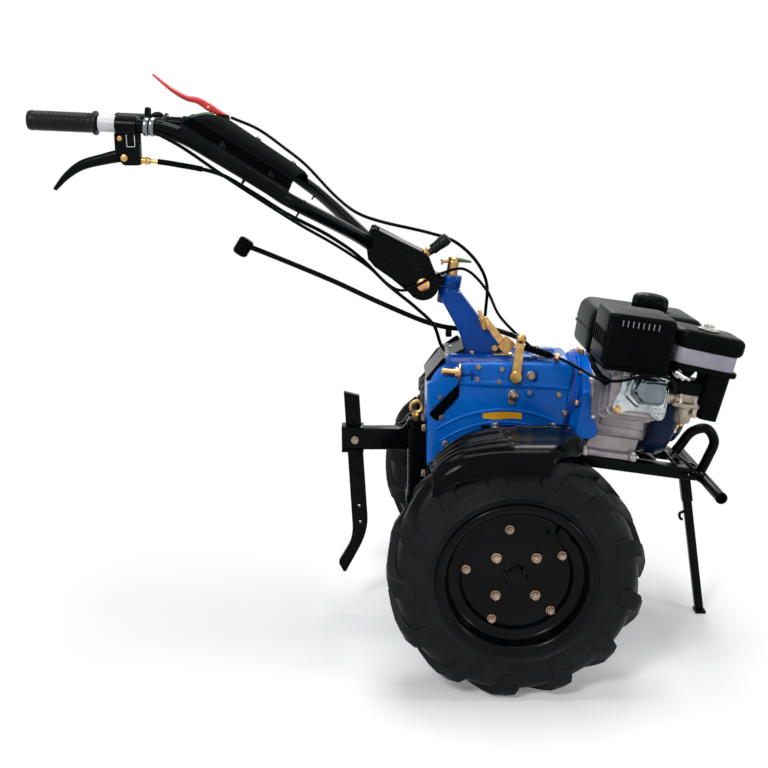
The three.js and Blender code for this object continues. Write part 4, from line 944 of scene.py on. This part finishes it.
def carburettor():
    body = Form(ENGINE)
    y = INLET_Y
    body.spin([(16, 0), (20, 1), (20, 5), (15, 7), (14, 20), (15, 50), (20, 52), (20, 56), (16, 57)],
              (142.4, y, 50), AHEAD, 32)
    body.plate(rounded([(158, y - 23), (212, y - 23), (212, y + 20), (158, y + 20)], 7, 3), 37, 44, "xy",
               chamfer=1)
    body.block((162, 206), (y - 19, y + 17), (43, 62), 4, 3)
    body.spin([(17, 0), (18.4, 1), (18.4, 4), (16, 6), (15.4, 26), (13.6, 32), (7, 35)], (186, y - 3, 38),
              -UP, 40)
    body.rod((168, y - 20, 58), (168, y - 30, 60), 5, 4, 16)
    body.block((196, 204), (y - 25, y - 18), (20, 38), 1.5)
    piece(body, "carburettor_body", BRASS, ["carburettor"])
    trim = Form(ENGINE)
    trim.bolt((186, y - 3, 3), -UP, 9, 5, washer=False)
    trim.rod((178, y - 14, 2), (176, y - 14, -8), 3, 2, 12)
    piece(trim, "bowl_drain", GOLD, sharp=25)
    studs = Form(ENGINE)
    for x in (172, 200):
        studs.rod((x, y - 17, 43), (x, y - 17, 58), 3.2, 3.2, 14)
        studs.bolt((x, y - 17, 44), UP, 9, 4, washer=False)
    studs.rod((146, y - 34, 104), (166, y - 30, 92), 5, 7, 18, 1)
    studs.rod((160, y - 32, 98), (178, y - 26, 90), 4, 4, 16, 1)
    studs.plate(rounded([(142, 103), (155, 108), (168, 97), (161, 88), (146, 94)], 4, 3), y - 30, y - 27.6,
                chamfer=0.6)
    studs.spin([(6, 0), (6, 5), (4, 6)], (152, y - 30, 98), (0, -1, 0), 24)
    studs.tube([(132, y - 26, 84), (118, y - 26, 88), (96, y - 14, 92), (70, y + 10, 88)], 1.3, 8, 6)
    studs.spring((100, y - 8, 92), (2.2, 0, 0), AHEAD, 9, 4, 0.9, 14)
    piece(studs, "throttle_linkage", STEEL, sharp=25)
    spacer = Form(ENGINE)
    spacer.plate(rounded([(y - 24, 24), (y + 24, 24), (y + 24, 72), (y - 24, 72)], 8, 3), 140.4, 144.4, "yz")
    spacer.block((146, 208), (y - 28, y + 22), (62, 88), 9, 5)
    spacer.rod((146, y - 12, 74), (132, y - 8, 70), 11, 9, 24, 2)
    spacer.tube([(190, y + 12, 34), (198, y + 30, 40), (176, y + 70, 72), (140, y + 110, 80)], 4, 12, 8)
    piece(spacer, "inlet_spacer", PLASTIC)


RAIL_TOP = -110.3
CROSSBAR = (411, 305)  # x and height of the bar across the front
STAND_PIVOT, STAND_FOOT = Vector((378, 0, 315)), Vector((432, 0, 0))


def engine_frame():
    form = Form(ENGINE)
    for y in (-62, 62):
        form.block((-55, 255), (y - 15, y + 15), (RAIL_TOP - 24, RAIL_TOP), 3, 3)
    for low, high in ((-52, -20), (168, 198), (233, 255)):
        form.block((low, high), (-76, 76), (RAIL_TOP - 9, RAIL_TOP - 0.4), 2)
    lug = rounded([(240, -116), (292, -124), (304, -134), (301, -150), (266, -150)], 4, 2)
    for y in (-16, 16):
        form.plate(lug, y - 3, y + 3, chamfer=0.6)
    for side in (-1, 1):
        form.block((-50, 250), sorted((side * 76, side * 77.5)), (RAIL_TOP - 22, RAIL_TOP - 2), 0.3)
    piece(form, "engine_rails", BLACK, ["engine_frame"], sharp=45)


def front_guard():
    x, z = CROSSBAR
    form, caps = Form(), Form()
    form.rod((x, -150, z), (x, 150, z), 11, 11, 28, 3)
    form.tube([(x, 0, z), (426, 0, 340), (436, 0, 374), (419, 0, 400), (390, 0, 394), (366, 0, 362),
               (358, 0, 352)], 10, 22, 10)
    for side in (-1, 1):
        form.tube([(352, side * 14, 346), (372, side * 14, 330), (396, side * 30, 312), (x, side * 52, z)],
                  9, 18, 6)
        caps.rod((x, side * 150, z), (x, side * 144, z), 11.6, 11.6, 28, 2)
    piece(form, "front_bumper", BLACK, ["front_guard"])
    piece(caps, "bumper_caps", PLASTIC)


def stand():
    """The leg is drawn along its own -Z, with the pivot along its X."""
    back = (STAND_PIVOT - STAND_FOOT).normalized()
    across = Vector((0, 1, 0))
    turn = Matrix((across, across.cross(back), back)).transposed().to_4x4()
    length = (STAND_FOOT - STAND_PIVOT).length
    leg = Form(LAYOUT @ Matrix.Translation(STAND_PIVOT) @ turn)
    leg.block((-9, 9), (-10.5, 10.5), (-70, 8), 2.5, 3)
    leg.block((-7, 7), (-8.5, 8.5), (-length + 6, -60), 2, 3)
    leg.rod((-22, 0, 0), (22, 0, 0), 5, 5, 18)
    leg.rod((0, -14, -92), (0, 4, -92), 3.2, 3.2, 12)
    leg.tube([(0, -14, -92), (0, -18, -96), (0, -17, -106), (0, -13, -108)], 3, 10, 6)
    piece(leg, "stand_tube", BLACK, ["stand_leg"], "stand")
    shoe = Form()
    shoe.block((421, 443), (-13, 13), (0.2, 7), 2, 3)
    piece(shoe, "stand_shoe", BLACK, body="stand")
    nuts = [(STAND_PIVOT + Vector((0, side * 19.4, 0)), (0, side, 0), 13, 6) for side in (-1, 1)]
    bolted("stand_pivot_nuts", STEEL, nuts)


# ---- handlebar column and swivel -------------------------------------------------------
SWIVEL = Vector((-103, 0, 688))
SWIVEL_UP = Vector((math.sin(NOSE_DOWN), 0, math.cos(NOSE_DOWN)))
TILT = Vector((-156, 0, 698))


def column():
    form = Form()
    outline = [(-74, 556.4), (8, 556.4), (4, 566), (-79, 676), (-86, 683), (-114, 680), (-122, 670),
               (-72, 580)]
    form.plate(rounded(outline, 6, 3), -30, 30, chamfer=2.4)
    form.plate(rounded([(-84, -40), (14, -40), (14, 40), (-84, 40)], 8, 3), 556.2, 561, "xy")
    form.spin([(11.6, 0), (20, 0), (21, 2), (21, 29), (19.5, 31), (11.6, 31)], SWIVEL - SWIVEL_UP * 31.4,
              SWIVEL_UP, 44, closed=True)
    for y in (-30.4, 30.4):
        form.tube([(-70, y, 562), (-80, y, 596), (-112, y, 664)], 2.2, 10, 6)
    # The column bracket takes the darker blue: painted shade.
    piece(form, "column_bracket", SHADED_BLUE, ["handle_column"], sharp=40)
    bolted("column_bolts", BOLT, [((x, y, 561), UP, 12, 6) for x in (-60, 2) for y in (-35, 35)])
    pin, keeper = Form(), Form()
    pin.spin([(9.6, 0), (11, 1.5), (11, 84), (9, 85.5)], SWIVEL - SWIVEL_UP * 27, SWIVEL_UP, 36)
    pin.ring(SWIVEL + SWIVEL_UP * 50, SWIVEL_UP, 10.6, 1.2)
    top = SWIVEL + SWIVEL_UP * 52
    pin.rod(top + Vector((-24, 0, -3)), top + Vector((-8, 0, -1)), 3, 3, 14)
    pin.spin([(5.4, 0), (5.4, 3.5)], top + Vector((-25, 0, -3)), (1, 0, 0.1), 6)
    piece(pin, "upright_pin", GOLD, ["swivel_pin"])
    keeper.rod(top + Vector((4, 0, 2)), top + Vector((34, -6, -2)), 5, 2.4, 16, 2)
    keeper.rod(top + Vector((2, 0, 0)), top + Vector((2, 0, 6)), 6, 5, 20, 1)
    piece(keeper, "pin_keeper", GREEN)


def swivel():
    collar = Form()
    collar.spin([(11.6, 0), (20, 0), (21, 1.5), (21, 22), (19.5, 24), (11.6, 24)], SWIVEL + SWIVEL_UP * 0.4,
                SWIVEL_UP, 44, closed=True)
    # The swivel collar takes the darker blue: painted shade.
    piece(collar, "swivel_collar", SHADED_BLUE, body="swivel", sharp=40)
    head = Form()
    tongue = [(-116, 695), (-112, 711)] + arc((TILT.x, TILT.z), 24, 80, 270, 14) + [(-134, 678), (-128, 692)]
    head.plate(tongue, -22, 22, chamfer=1.2)
    piece(head, "swivel_block", BLACK, ["swivel_head"], "swivel", sharp=40)
    bolt = Form()
    bolt.rod((TILT.x, -42, TILT.z), (TILT.x, 42, TILT.z), 7, 7, 20)
    for side in (-1, 1):
        bolt.spin([(13, 0), (13.2, 2), (12, 6), (7, 8.4), (2, 8.8)], (TILT.x, side * 35.4, TILT.z),
                  (0, side, 0), 36)
    piece(bolt, "tilt_bolt_domed", PINK_GOLD, ["tilt_bolt"], "swivel")


# ---- handlebar -------------------------------------------------------------------------
HALF = 290
GRIP_HEIGHT = 1004
TUBE = 12.5
TUBE_LINE = [(-212, 17.2, 738), (-250, 20, 768), (-276, 48, 789), (-320, 124, 822), (-372, 205, 858),
             (-400, HALF - 60, 876), (-424, HALF - 52, 893), (-503, HALF - 28, 944), (-564, HALF - 10, 980),
             (-610, HALF - 1, 993), (-690, HALF, GRIP_HEIGHT - 5), (-799, HALF, GRIP_HEIGHT)]


def handle_clamp():
    form = Form()
    outline = [(-146, 752), (-238, 799), (-254, 806), (-262, 746), (-212, 705)]
    outline += arc((TILT.x, TILT.z), 30, 233, 387, 20)
    form.plate([(-147, 747), (-236, 792), (-240, 800), (-145, 754)], -31, 31, chamfer=0.5)
    form.plate([(-262, 746), (-214, 708), (-210, 712), (-258, 750)], -31, 31, chamfer=0.4)
    edge = [(-150, 752), (-238, 798), (-253, 804), (-260, 748), (-212, 708)]
    for side in (-1, 1):
        form.plate(outline, *sorted((side * 30, side * 35)), chamfer=0.8)
        form.tube([(a, side * 35, b) for a, b in edge], 1.8, 8, 3)
        form.spin([(31, 0), (31, 1.5), (27, 3)], (TILT.x, side * 34.5, TILT.z), (0, side, 0), 40)
    for x, z in ((-222, 742), (-196, 756)):
        form.rod((x, -38, z), (x, 38, z), 5, 5, 18)
    piece(form, "clamp_plates", BLACK, ["handle_clamp"], "handlebar", sharp=40)
    bolts = [((x, side * 35.2, z), (0, side, 0), 10, 4)
             for x, z in ((-236, 764), (-190, 740)) for side in (-1, 1)]
    bolted("clamp_bolts", BLACK, bolts, body="handlebar")
    lock = Form()
    lock.tube([(-150, 0, 752), (-140, 0, 757), (-132, 0, 763)], 6.5, 14, 4)
    lock.spin([(8, 0), (10, 1), (10.6, 4), (10.2, 12), (11.6, 22), (12.4, 32), (10.5, 38), (5, 40)],
              (-138, 0, 760), (26, 0, 20), 32)
    piece(lock, "lock_handle", GRIP, ["tilt_lock_lever"], "handlebar")
    along = (-0.4, 0, 0.9)
    bolted("lock_bolts", GOLD, [((-150, -24, 752), along, 12, 7, 6), ((-150, 24, 752), along, 12, 7)],
           body="handlebar")


def handle_tube(word, side):
    form = Form()
    form.tube([(x, side * y, z) for x, y, z in TUBE_LINE], TUBE, 24, 10)
    piece(form, f"handle_arm_{word}", BLACK, [f"handle_tube_{word}"], "handlebar")
    profile = [(13, 0), (19, 0.5), (19.5, 3), (18.5, 6), (15.6, 8)]
    for k in range(20):
        d = 12 + 4.4 * k
        profile += [(15.9, d), (15.9, d + 2.4), (15.1, d + 2.9), (15.1, d + 3.9)]
    profile += [(16, 102), (16, 108), (14.5, 111.5), (9, 113), (2, 113.2)]
    grip = Form()
    grip.spin(profile, (-694.3, side * HALF, GRIP_HEIGHT - 4.9), (-112.7, 0, 4.9), 40)
    piece(grip, f"ribbed_grip_{word}", GRIP, [f"grip_{word}"], "handlebar", sharp=60)
    straps = Form()
    for x in (-375, -462):
        near = min(smooth_path(TUBE_LINE, 12), key=lambda p: abs(p.x - x))
        straps.ring((near.x, side * near.y, near.z - 4.5), (1, 0, -0.6), 15.5, 1.6)
    piece(straps, f"cable_straps_{word}", PLASTIC, body="handlebar")


def flat_lever(form, spine, y, half_width):
    """A lever pressed from strip: a smooth line of (x, z, half height) with a rounded section."""
    line = smooth_path([(x, 0, z) for x, z, _ in spine], 6)
    heights = smooth_path([(tall, i, 0) for i, (_, _, tall) in enumerate(spine)], 6)
    rings = []
    for i, p in enumerate(line):
        ahead = line[min(i + 1, len(line) - 1)] - line[max(i - 1, 0)]
        up = Vector((-ahead.z, 0, ahead.x)).normalized() * heights[i].x
        turns = [2 * math.pi * k / 16 for k in range(16)]
        rings.append([p + Vector((0, y + half_width * math.cos(a), 0)) + up * math.sin(a) for a in turns])
    form.loft(rings)


def lever_clip(word, y, plate, blocks=()):
    """The clip round the handle tube, with two plates that hold the lever."""
    form = Form()
    form.spin([(13, 0), (17, 0.6), (17, 31.4), (13, 32)], (-662, y, 995.6), (32, 0, -1.6), 36, closed=True)
    for low, high in ((y - 9, y - 5.6), (y + 5.6, y + 9)):
        form.plate(plate, low, high, chamfer=0.6 if blocks else 0.5)
    for x, z in blocks:
        form.block(x, (y - 8, y + 8), z, 1.5)
    piece(form, f"lever_clip_{word}", BLACK, [f"lever_bracket_{word}"], "handlebar", sharp=40)


def right_lever():
    y = -HALF
    plate = rounded([(-667, 986), (-667, 952), (-655, 932), (-627, 932), (-627, 986)], 5, 3)
    lever_clip("right", y, plate, [((-634, -627), (934, 984)), ((-665, -628), (972, 984))])
    lever = Form()
    spine = [(-638, 948, 10), (-656, 948, 10.5), (-690, 941.5, 9), (-725, 932, 8), (-750, 915.5, 6),
             (-771, 893.5, 3.4)]
    flat_lever(lever, spine, y, 5)
    lever.rod((-650, y - 11, 945), (-650, y + 11, 945), 3.5, 3.5, 16)
    piece(lever, "hand_lever_right", BLACK, ["clutch_lever_right"], "handlebar")
    trim = Form()
    trim.spin([(5.6, 0), (5.6, 1.5), (3, 2.6)], (-652, y - 10.5, 944), (0, -1, 0), 24)
    trim.spin([(4, 0), (4, 1.5), (2.6, 2.2)], (-658, y - 9, 975), (0, -1, 0), 20)
    trim.rod((-627, y, 940), (-612, y, 939), 5.4, 5.4, 20)
    trim.spin([(6.4, 0), (6.4, 4), (5, 5)], (-620, y, 939.4), AHEAD, 6)
    trim.rod((-612, y, 939), (-598, y, 937.5), 3.2, 3.2, 16)
    piece(trim, "lever_rivets_right", GOLD, body="handlebar", sharp=25)
    label = Form()
    for x in (-647, -634):
        label.block((x - 0.6, x + 0.6), (y - 9.5, y - 9), (962, 982), 0.1)
    for z in (962, 982):
        label.block((-647.6, -633.4), (y - 9.5, y - 9), (z - 0.6, z + 0.6), 0.1)
    piece(label, "blank_bracket_label", LABEL, body="handlebar")
    sleeve = Form()
    sleeve.rod((-692, y, 998.9), (-665, y, 997.3), TUBE + 0.6, TUBE + 0.6, 32, 0.2)
    piece(sleeve, "blank_tube_label", LABEL, body="handlebar")


def left_lever():
    y = HALF
    plate = [(-656, 1008), (-632, 998), (-586, 998), (-562, 1002), (-562, 1014), (-598, 1017), (-640, 1016)]
    lever_clip("left", y, rounded(plate, 3, 2))
    red, pins, tab = Form(), Form(), Form()
    spine = [(-562, 1011.5, 2.4), (-582, 1018, 6), (-604, 1030, 8.4), (-628, 1044, 7), (-652, 1049.5, 5.8),
             (-682, 1066, 4.4), (-721, 1097.5, 2.4)]
    flat_lever(red, spine, y, 5.2)
    piece(red, "hand_lever_left", RED, ["clutch_lever_left"], "handlebar")
    pins.rod((-592, y - 11, 1012), (-592, y + 11, 1012), 4, 4, 18)
    pins.rod((-606, y - 7, 1030), (-606, y + 7, 1030), 3.2, 3.2, 16)
    piece(pins, "lever_pins_left", GOLD, body="handlebar")
    flat_lever(tab, [(-655, 1006, 3), (-636, 1010, 5), (-612, 1014, 6), (-594, 1014, 5)], y - 7, 3.4)
    piece(tab, "green_lock_tab", GREEN, body="handlebar")


def throttle():
    y = -HALF
    bands, arm = Form(), Form()
    for x in (-619, -609.5):
        bands.spin([(13, 0), (15.6, 0.5), (16, 2), (16, 6), (15.6, 7.5), (13, 8)], (x, y, 994.4),
                   (8, 0, -0.9), 32, closed=True)
    # The bands are drawn in darkened polish: a painted dark reflection.
    piece(bands, "throttle_bands", POLISH_PAINTED_DARK, ["throttle_lever"], "handlebar")
    flat_lever(arm, [(-606, 1008, 4), (-600, 1012, 4.6), (-592, 1012, 4), (-588, 1008, 3)], y, 3.6)
    arm.rod((-613, y, 1008), (-611.5, y, 1024), 6, 5, 20, 1.6)
    arm.block((-624, -600), (y - 6, y + 6), (1006, 1011), 2)
    piece(arm, "throttle_thumb_lever", BLACK, body="handlebar")


PANEL_REAR, PANEL_LENGTH = -560, 168
SHEET_THICK = 2.8


def panel_half(x):
    """Half the dash sheet's width: it spreads backwards with the tubes that it lies on."""
    return HALF - 60 + min(56, max(0, (-x - 400) * 0.36))


def panel_height(x):
    return 877 + (-x - 400) * 0.648 + TUBE + 3.5


def console():
    form = Form()
    rings, folds = [], {-1: [], 1: []}
    for i in range(21):
        u = i / 20
        x = PANEL_REAR + PANEL_LENGTH * u
        lip = 5 * (math.exp(-(u / 0.05) ** 2) + math.exp(-((1 - u) / 0.05) ** 2))
        top = []
        for j in range(41):
            v = 2 * j / 40 - 1
            crown = 20 * (1 - v * v) + 2.2 * math.exp(-((abs(v) - 0.72) / 0.05) ** 2)
            top.append(Vector((x, v * panel_half(x), panel_height(x) + crown - lip * (1 - v * v) + 3)))
        rings.append(top + [p - UP * SHEET_THICK for p in reversed(top)])
        for side, edge in ((-1, top[0]), (1, top[-1])):
            folds[side].append([edge + Vector((0, side * a, b)) for a, b in (
                (-4, 0), (1, 0), (4, -2), (6, -7), (6.5, -18), (4, -18), (3.5, -7), (2, -3.5), (-4, -3))])
    form.loft(rings)
    form.loft(folds[-1])
    form.loft(folds[1])
    feet = [(x, side * (panel_half(x) - 12), panel_height(x)) for side in (-1, 1) for x in (-424, -500)]
    for x, y, z in feet:
        form.rod((x, y, z - 4), (x, y, z + 8), 8, 8, 20)
    piece(form, "dash_sheet", DASH_BLACK, ["console_panel"], "handlebar", sharp=45)
    bolted("dash_bolts", BLACK, [((x, y, z + 8), (-0.4, 0, 0.9), 8, 2.5) for x, y, z in feet],
           body="handlebar", washer=False)


# ---- gear shift ------------------------------------------------------------------------
CRANK_PIVOT, CRANK_TOP = Vector((21, -81, 527)), Vector((29, -81, 602))
SHIFT_LINE = [(-488, -60, 774), (-476, -60, 770), (-332, -45, 708), (-239, -30, 662), (-143, -12, 619),
              (-93, 0, 606), (-40, -2, 606), (-14, -18, 606), (8, -52, 605), (24, -80, 603)]


def gear_shift():
    rod = Form()
    rod.tube(SHIFT_LINE, 5, 14, 8)
    rod.block((-110, -98), (-10, 4), (590, 604), 2)
    piece(rod, "gear_rod", BLACK, ["shift_rod"])
    profile = [(7, 0), (11, 1), (12.4, 3)]
    for k in range(5):
        profile += [(12.8, 5 + 4 * k), (12.8, 7.4 + 4 * k), (11.6, 8 + 4 * k)]
    profile += [(12.4, 25), (10, 27.6), (3, 28)]
    knob = Form()
    knob.spin([(r * 1.15, d * 1.2) for r, d in profile], (-486, -60, 787), (-14, 0, -22), 32)
    piece(knob, "gear_knob", PLASTIC, ["shift_knob"], sharp=50)

    pivot, top = CRANK_PIVOT, CRANK_TOP
    along = math.degrees(math.atan2(top.z - pivot.z, top.x - pivot.x))
    outline = arc((pivot.x, pivot.z), 9, along + 90, along + 270, 10)
    outline += arc((top.x, top.z), 7.5, along - 90, along + 90, 10)
    crank = Form()
    crank.plate(outline, -84.5, -78.5, chamfer=0.9)
    crank.spin([(12, 0), (12, 12), (10.5, 14), (5, 14.4)], (pivot.x, -75.3, pivot.z), (0, -1, 0), 32)
    crank.spin([(3, -9), (8, -6.5), (9.6, -2), (9.6, 2), (8, 6.5), (3, 9)], (top.x, -85, top.z), (0, -1, 0),
               28)
    piece(crank, "gear_crank", GOLD, ["shift_crank"])


def selector():
    form = Form()
    for outline, radius, steps, low, high, chamfer in (
            ([(-44, 630), (-34, 638), (14, 578), (4, 568)], 4, 3, -38, -34, 0.8),
            ([(-24, 557), (22, 557), (18, 564), (-20, 564)], 3, 2, -44, -24, 0.8),
            ([(-12, 578), (6, 599), (24, 583), (6, 562)], 3, 3, -48, -30, 1.2),
            ([(-4, 577), (6, 589), (15, 581), (5, 569)], 2, 2, -49.6, -28, 0.6)):
        form.plate(rounded(outline, radius, steps), low, high, chamfer=chamfer)
    form.rod((-36, -42, 612), (-48, -42, 650), 4.6, 3.6, 16)
    form.spring((-38, -42, 616), (-0.8, 0, 2.4), (-0.3, 0, 0.95), 8, 5, 1.0)
    form.bolt((-30, -38, 622), (0, -1, 0), 8, 4)
    form.bolt((-16, -38, 574), (0, -1, 0), 9, 4)
    piece(form, "selector_plate", GOLD, sharp=30)
    pin = Form()
    pin.rod((-121, -80, 538), (-84, -80, 535), 6.4, 6.4, 24, 1.6)
    pin.spin([(21, 0), (21, 2.4), (18, 3)], (-86, -72, 533), (-1, 0, 0.06), 32)
    pin.bolt((-88, -80, 535), (-1, 0, 0.06), 17, 6)
    piece(pin, "selector_pin", PINK_GOLD, sharp=30)


def rear_plates():
    stay, cover, band = Form(), Form(), Form()
    stay.plate(rounded([(-150, 512), (-124, 548), (-84, 576), (-78, 576), (-78, 557.4), (-110, 530),
                        (-140, 500)], 3, 2), 75.4, 78.6, chamfer=0.4)
    stay.plate(rounded([(-150, 512), (-118, 552), (-74, 574), (-74, 568), (-112, 544), (-146, 506)], 3, 2),
               -36, 78)
    piece(stay, "rear_cable_plate", BLACK, ["cable_stay"])
    cover.plate(rounded([(-149, 512), (-117, 527), (-89, 526), (-88, 514), (-142, 462)], 4, 2), -80, -75.4,
                chamfer=0.6)
    piece(cover, "rear_cover_plate", BLUE)
    band.plate(rounded([(-86, 512), (-87, 486), (-114, 456), (-129, 437), (-145, 452), (-120, 478)], 4, 2),
               -78, -75.3, chamfer=0.5)
    piece(band, "rear_cover_band", BLACK)


# ---- control cables --------------------------------------------------------------------
CABLE = 3.3
CABLE_STEPS = 8  # between neighbouring points of a route
RIGHT_CABLE = [(-600, -290, 938), (-574, -288, 934), (-505, -262, 917), (-459, -248, 890), (-400, -226, 850),
               (-330, -140, 802), (-272, -50, 748), (-225, -46, 700), (-170, -46, 655), (-135, -44, 620),
               (-120, -40, 580), (-104, -36, 560)]
LEFT_CABLE = [(-558.2, 290, 1009), (-500, 276, 985), (-440, 250, 945), (-400, 236, 915), (-330, 150, 852),
              (-280, 60, 824), (-238, 30, 812), (-142, 26, 790), (-94, 24, 774), (-50, 22, 735),
              (-28, 30, 690), (-28, 42, 630), (-32, 44, 556.8)]
THROTTLE_CABLE = [(-600, -306, 985), (-560, -296, 962), (-500, -278, 918), (-430, -252, 868),
                  (-380, -222, 832),
                  (-320, -138, 786), (-262, -56, 736), (-200, -58, 690), (-130, -60, 720), (-80, -52, 730),
                  (-36, -46, 690), (-10, -50, 640), (40, -52, 590), (64, -56, 572), (104, -74, 562),
                  (142, -120, 548), (160, -196, 549), (186, -238, 557), (224, -243, 566), (262, -240, 565),
                  (286, -224, 549), (296, -192, 522.5)]


def cable(name, node, points, radius, upper, lower):
    """One cable in two stretches, from handlebar to swivel and from swivel to chassis.

    Upper and lower are pairs of point numbers on the route: the second of upper is where the stretches meet,
    and the others are not used, since piece ignores them."""
    line = smooth_path(points, CABLE_STEPS)
    meet = upper[1] * CABLE_STEPS
    for part, stretch, bodies, (start, end) in (
            ("upper", line[:meet + 1], ("handlebar", "swivel"), upper),
            ("lower", line[meet:], ("swivel", "chassis"), lower)):
        form = Form()
        form.tube(stretch, radius, 12, 1)
        piece(form, f"{name}_{part}", PLASTIC, [node], (*bodies, points[start], points[end]))


def cables():
    cable("right_clutch_cable", "clutch_cable_right", RIGHT_CABLE, CABLE, (5, 7), (7, 10))
    cable("left_clutch_cable", "clutch_cable_left", LEFT_CABLE, CABLE, (5, 8), (8, 11))
    cable("throttle_cable_run", "throttle_cable", THROTTLE_CABLE, CABLE - 0.5, (5, 7), (9, 11))
    ends, boot, tip, sleeve = Form(), Form(), Form(), Form()
    lean = (-0.25, 0, 0.97)
    ends.spin([(5, 0), (5.6, 1), (5.6, 5), (4.2, 8), (4, 22), (3, 26)], (-104, -36, 548), lean, 20)
    ends.spin([(5, 0), (5.6, 1), (5.6, 5), (4.2, 8), (4, 24), (3, 28)], (-32, 44, 556), UP, 20)
    ends.spring((-106, -37, 560), (-0.7, 0, 2.6), lean, 9, 5.2, 1.0)
    piece(ends, "cable_end_fittings", STEEL, sharp=30)
    along = Vector((62, -18, -17))
    profile = [(5, 0)]
    for k in range(9):
        profile += [(7.2, 2 + 5.6 * k), (7.8, 3.6 + 5.6 * k), (6, 5.4 + 5.6 * k)]
    boot.spin(profile + [(5, 54), (4, 56)], (40, -52, 579), along, 24)
    piece(boot, "cable_boot", PLASTIC, sharp=50)
    tip.spin([(7, 0), (8.4, 1), (8.4, 8), (7, 9)], (96, -70, 564), along, 24)
    piece(tip, "cable_boot_end", PINK_GOLD)
    sleeve.tube(smooth_path(RIGHT_CABLE, CABLE_STEPS)[:14], 4.6, 14, 1)
    piece(sleeve, "cable_sleeve", PLASTIC, body="handlebar")


# ---- floor, light and camera -----------------------------------------------------------
CAMERA_PLACE = (AXLE_X - 0.231, -2.072, 1.004)
CAMERA_DOWN = math.radians(13.86)
LENS = 50.16
LAMPS = [  # name, place, size, power
    ("key", (-1.3, -2.7, 2.7), 0.7, 52), ("fill", (2.6, -1.6, 1.2), 0.6, 14),
    ("top", (0.1, 0.1, 3.2), 1.6, 60), ("back", (0.6, 2.8, 2.2), 1.2, 24),
]
LAMPS_AIM = (0.1, 0, 0.5)
SKY_LEVEL = 0.3
FLOOR_GLOW = 0.16
SHADOW_FROM, SHADOW_TO = 0.5, 1.15  # distances over which the floor turns from shaded to plain white
WHITE = (1, 1, 1, 1)


def seen_share(tree):
    """One where the camera, a reflection or a see-through ray looks, and nought for light."""
    rays = add(tree, "LightPath").outputs
    total = rays["Is Camera Ray"]
    for name in ("Is Glossy Ray", "Is Transmission Ray"):
        total = add(tree, "Math", {0: total, 1: rays[name]}, operation="MAXIMUM").outputs[0]
    return total


def floor():
    """A white floor that keeps the shadow near the machine and is plain white further out."""
    bpy.ops.mesh.primitive_plane_add(size=60)
    obj = bpy.context.object
    obj.name = "floor"
    paper = bpy.data.materials.new("paper_floor")
    paper.use_nodes = True
    tree = paper.node_tree
    shader = tree.nodes["Principled BSDF"]
    feed(shader, {"Base Color": (0.86, 0.86, 0.86, 1), "Roughness": 0.9, "Specular IOR Level": 0.0})
    level = add(tree, "Math", {0: seen_share(tree), 1: FLOOR_GLOW}, operation="MULTIPLY")
    glow = add(tree, "Emission", {"Color": WHITE, "Strength": level.outputs[0]})
    near = add(tree, "AddShader", {0: shader.outputs[0], 1: glow.outputs[0]})
    far = add(tree, "Emission", {"Color": WHITE})
    place = add(tree, "TexCoord").outputs["Object"]
    reach = add(tree, "VectorMath", {0: place}, operation="LENGTH").outputs["Value"]
    edge = add(tree, "MapRange", {"From Min": SHADOW_FROM, "From Max": SHADOW_TO, "Value": reach},
               interpolation_type="SMOOTHSTEP")
    seen = add(tree, "Math", {0: seen_share(tree), 1: edge.outputs["Result"]}, operation="MULTIPLY")
    mix = add(tree, "MixShader", {0: seen.outputs[0], 1: near.outputs[0], 2: far.outputs[0]})
    feed(tree.nodes["Material Output"], {"Surface": mix.outputs[0]})
    obj.data.materials.append(paper)


def stage():
    scene = bpy.context.scene
    floor()
    scene.world = bpy.data.worlds.new("studio")
    scene.world.use_nodes = True
    tree = scene.world.node_tree
    level = add(tree, "MapRange", {"To Min": SKY_LEVEL, "To Max": 1.0, "Value": seen_share(tree)})
    feed(tree.nodes["Background"], {"Color": WHITE, "Strength": level.outputs["Result"]})
    for name, place, size, power in LAMPS:
        lamp = bpy.data.lights.new(name, "AREA")
        lamp.size = size
        lamp.energy = power
        obj = bpy.data.objects.new(name, lamp)
        obj.location = place
        obj.rotation_euler = (Vector(LAMPS_AIM) - Vector(place)).to_track_quat("-Z", "Y").to_euler()
        scene.collection.objects.link(obj)
    camera = bpy.data.cameras.new("camera")
    camera.lens = LENS
    camera.sensor_width = 36
    eye = bpy.data.objects.new("camera", camera)
    eye.location = CAMERA_PLACE
    eye.rotation_euler = (math.pi / 2 - CAMERA_DOWN, 0, 0)
    scene.collection.objects.link(eye)
    scene.camera = eye
    scene.view_settings.view_transform = "Standard"


for word, side in SIDES:
    wheel(word, side)
    axle_housing(word, side)
    mudguard(word, side)
    handle_tube(word, side)
gearbox()
bell()
hitch()
crankcase()
cylinder_head()
fan()
tank_and_shield()
air_cleaner()
carburettor()
engine_frame()
front_guard()
stand()
column()
swivel()
handle_clamp()
right_lever()
left_lever()
throttle()
console()
gear_shift()
selector()
rear_plates()
cables()
stage()
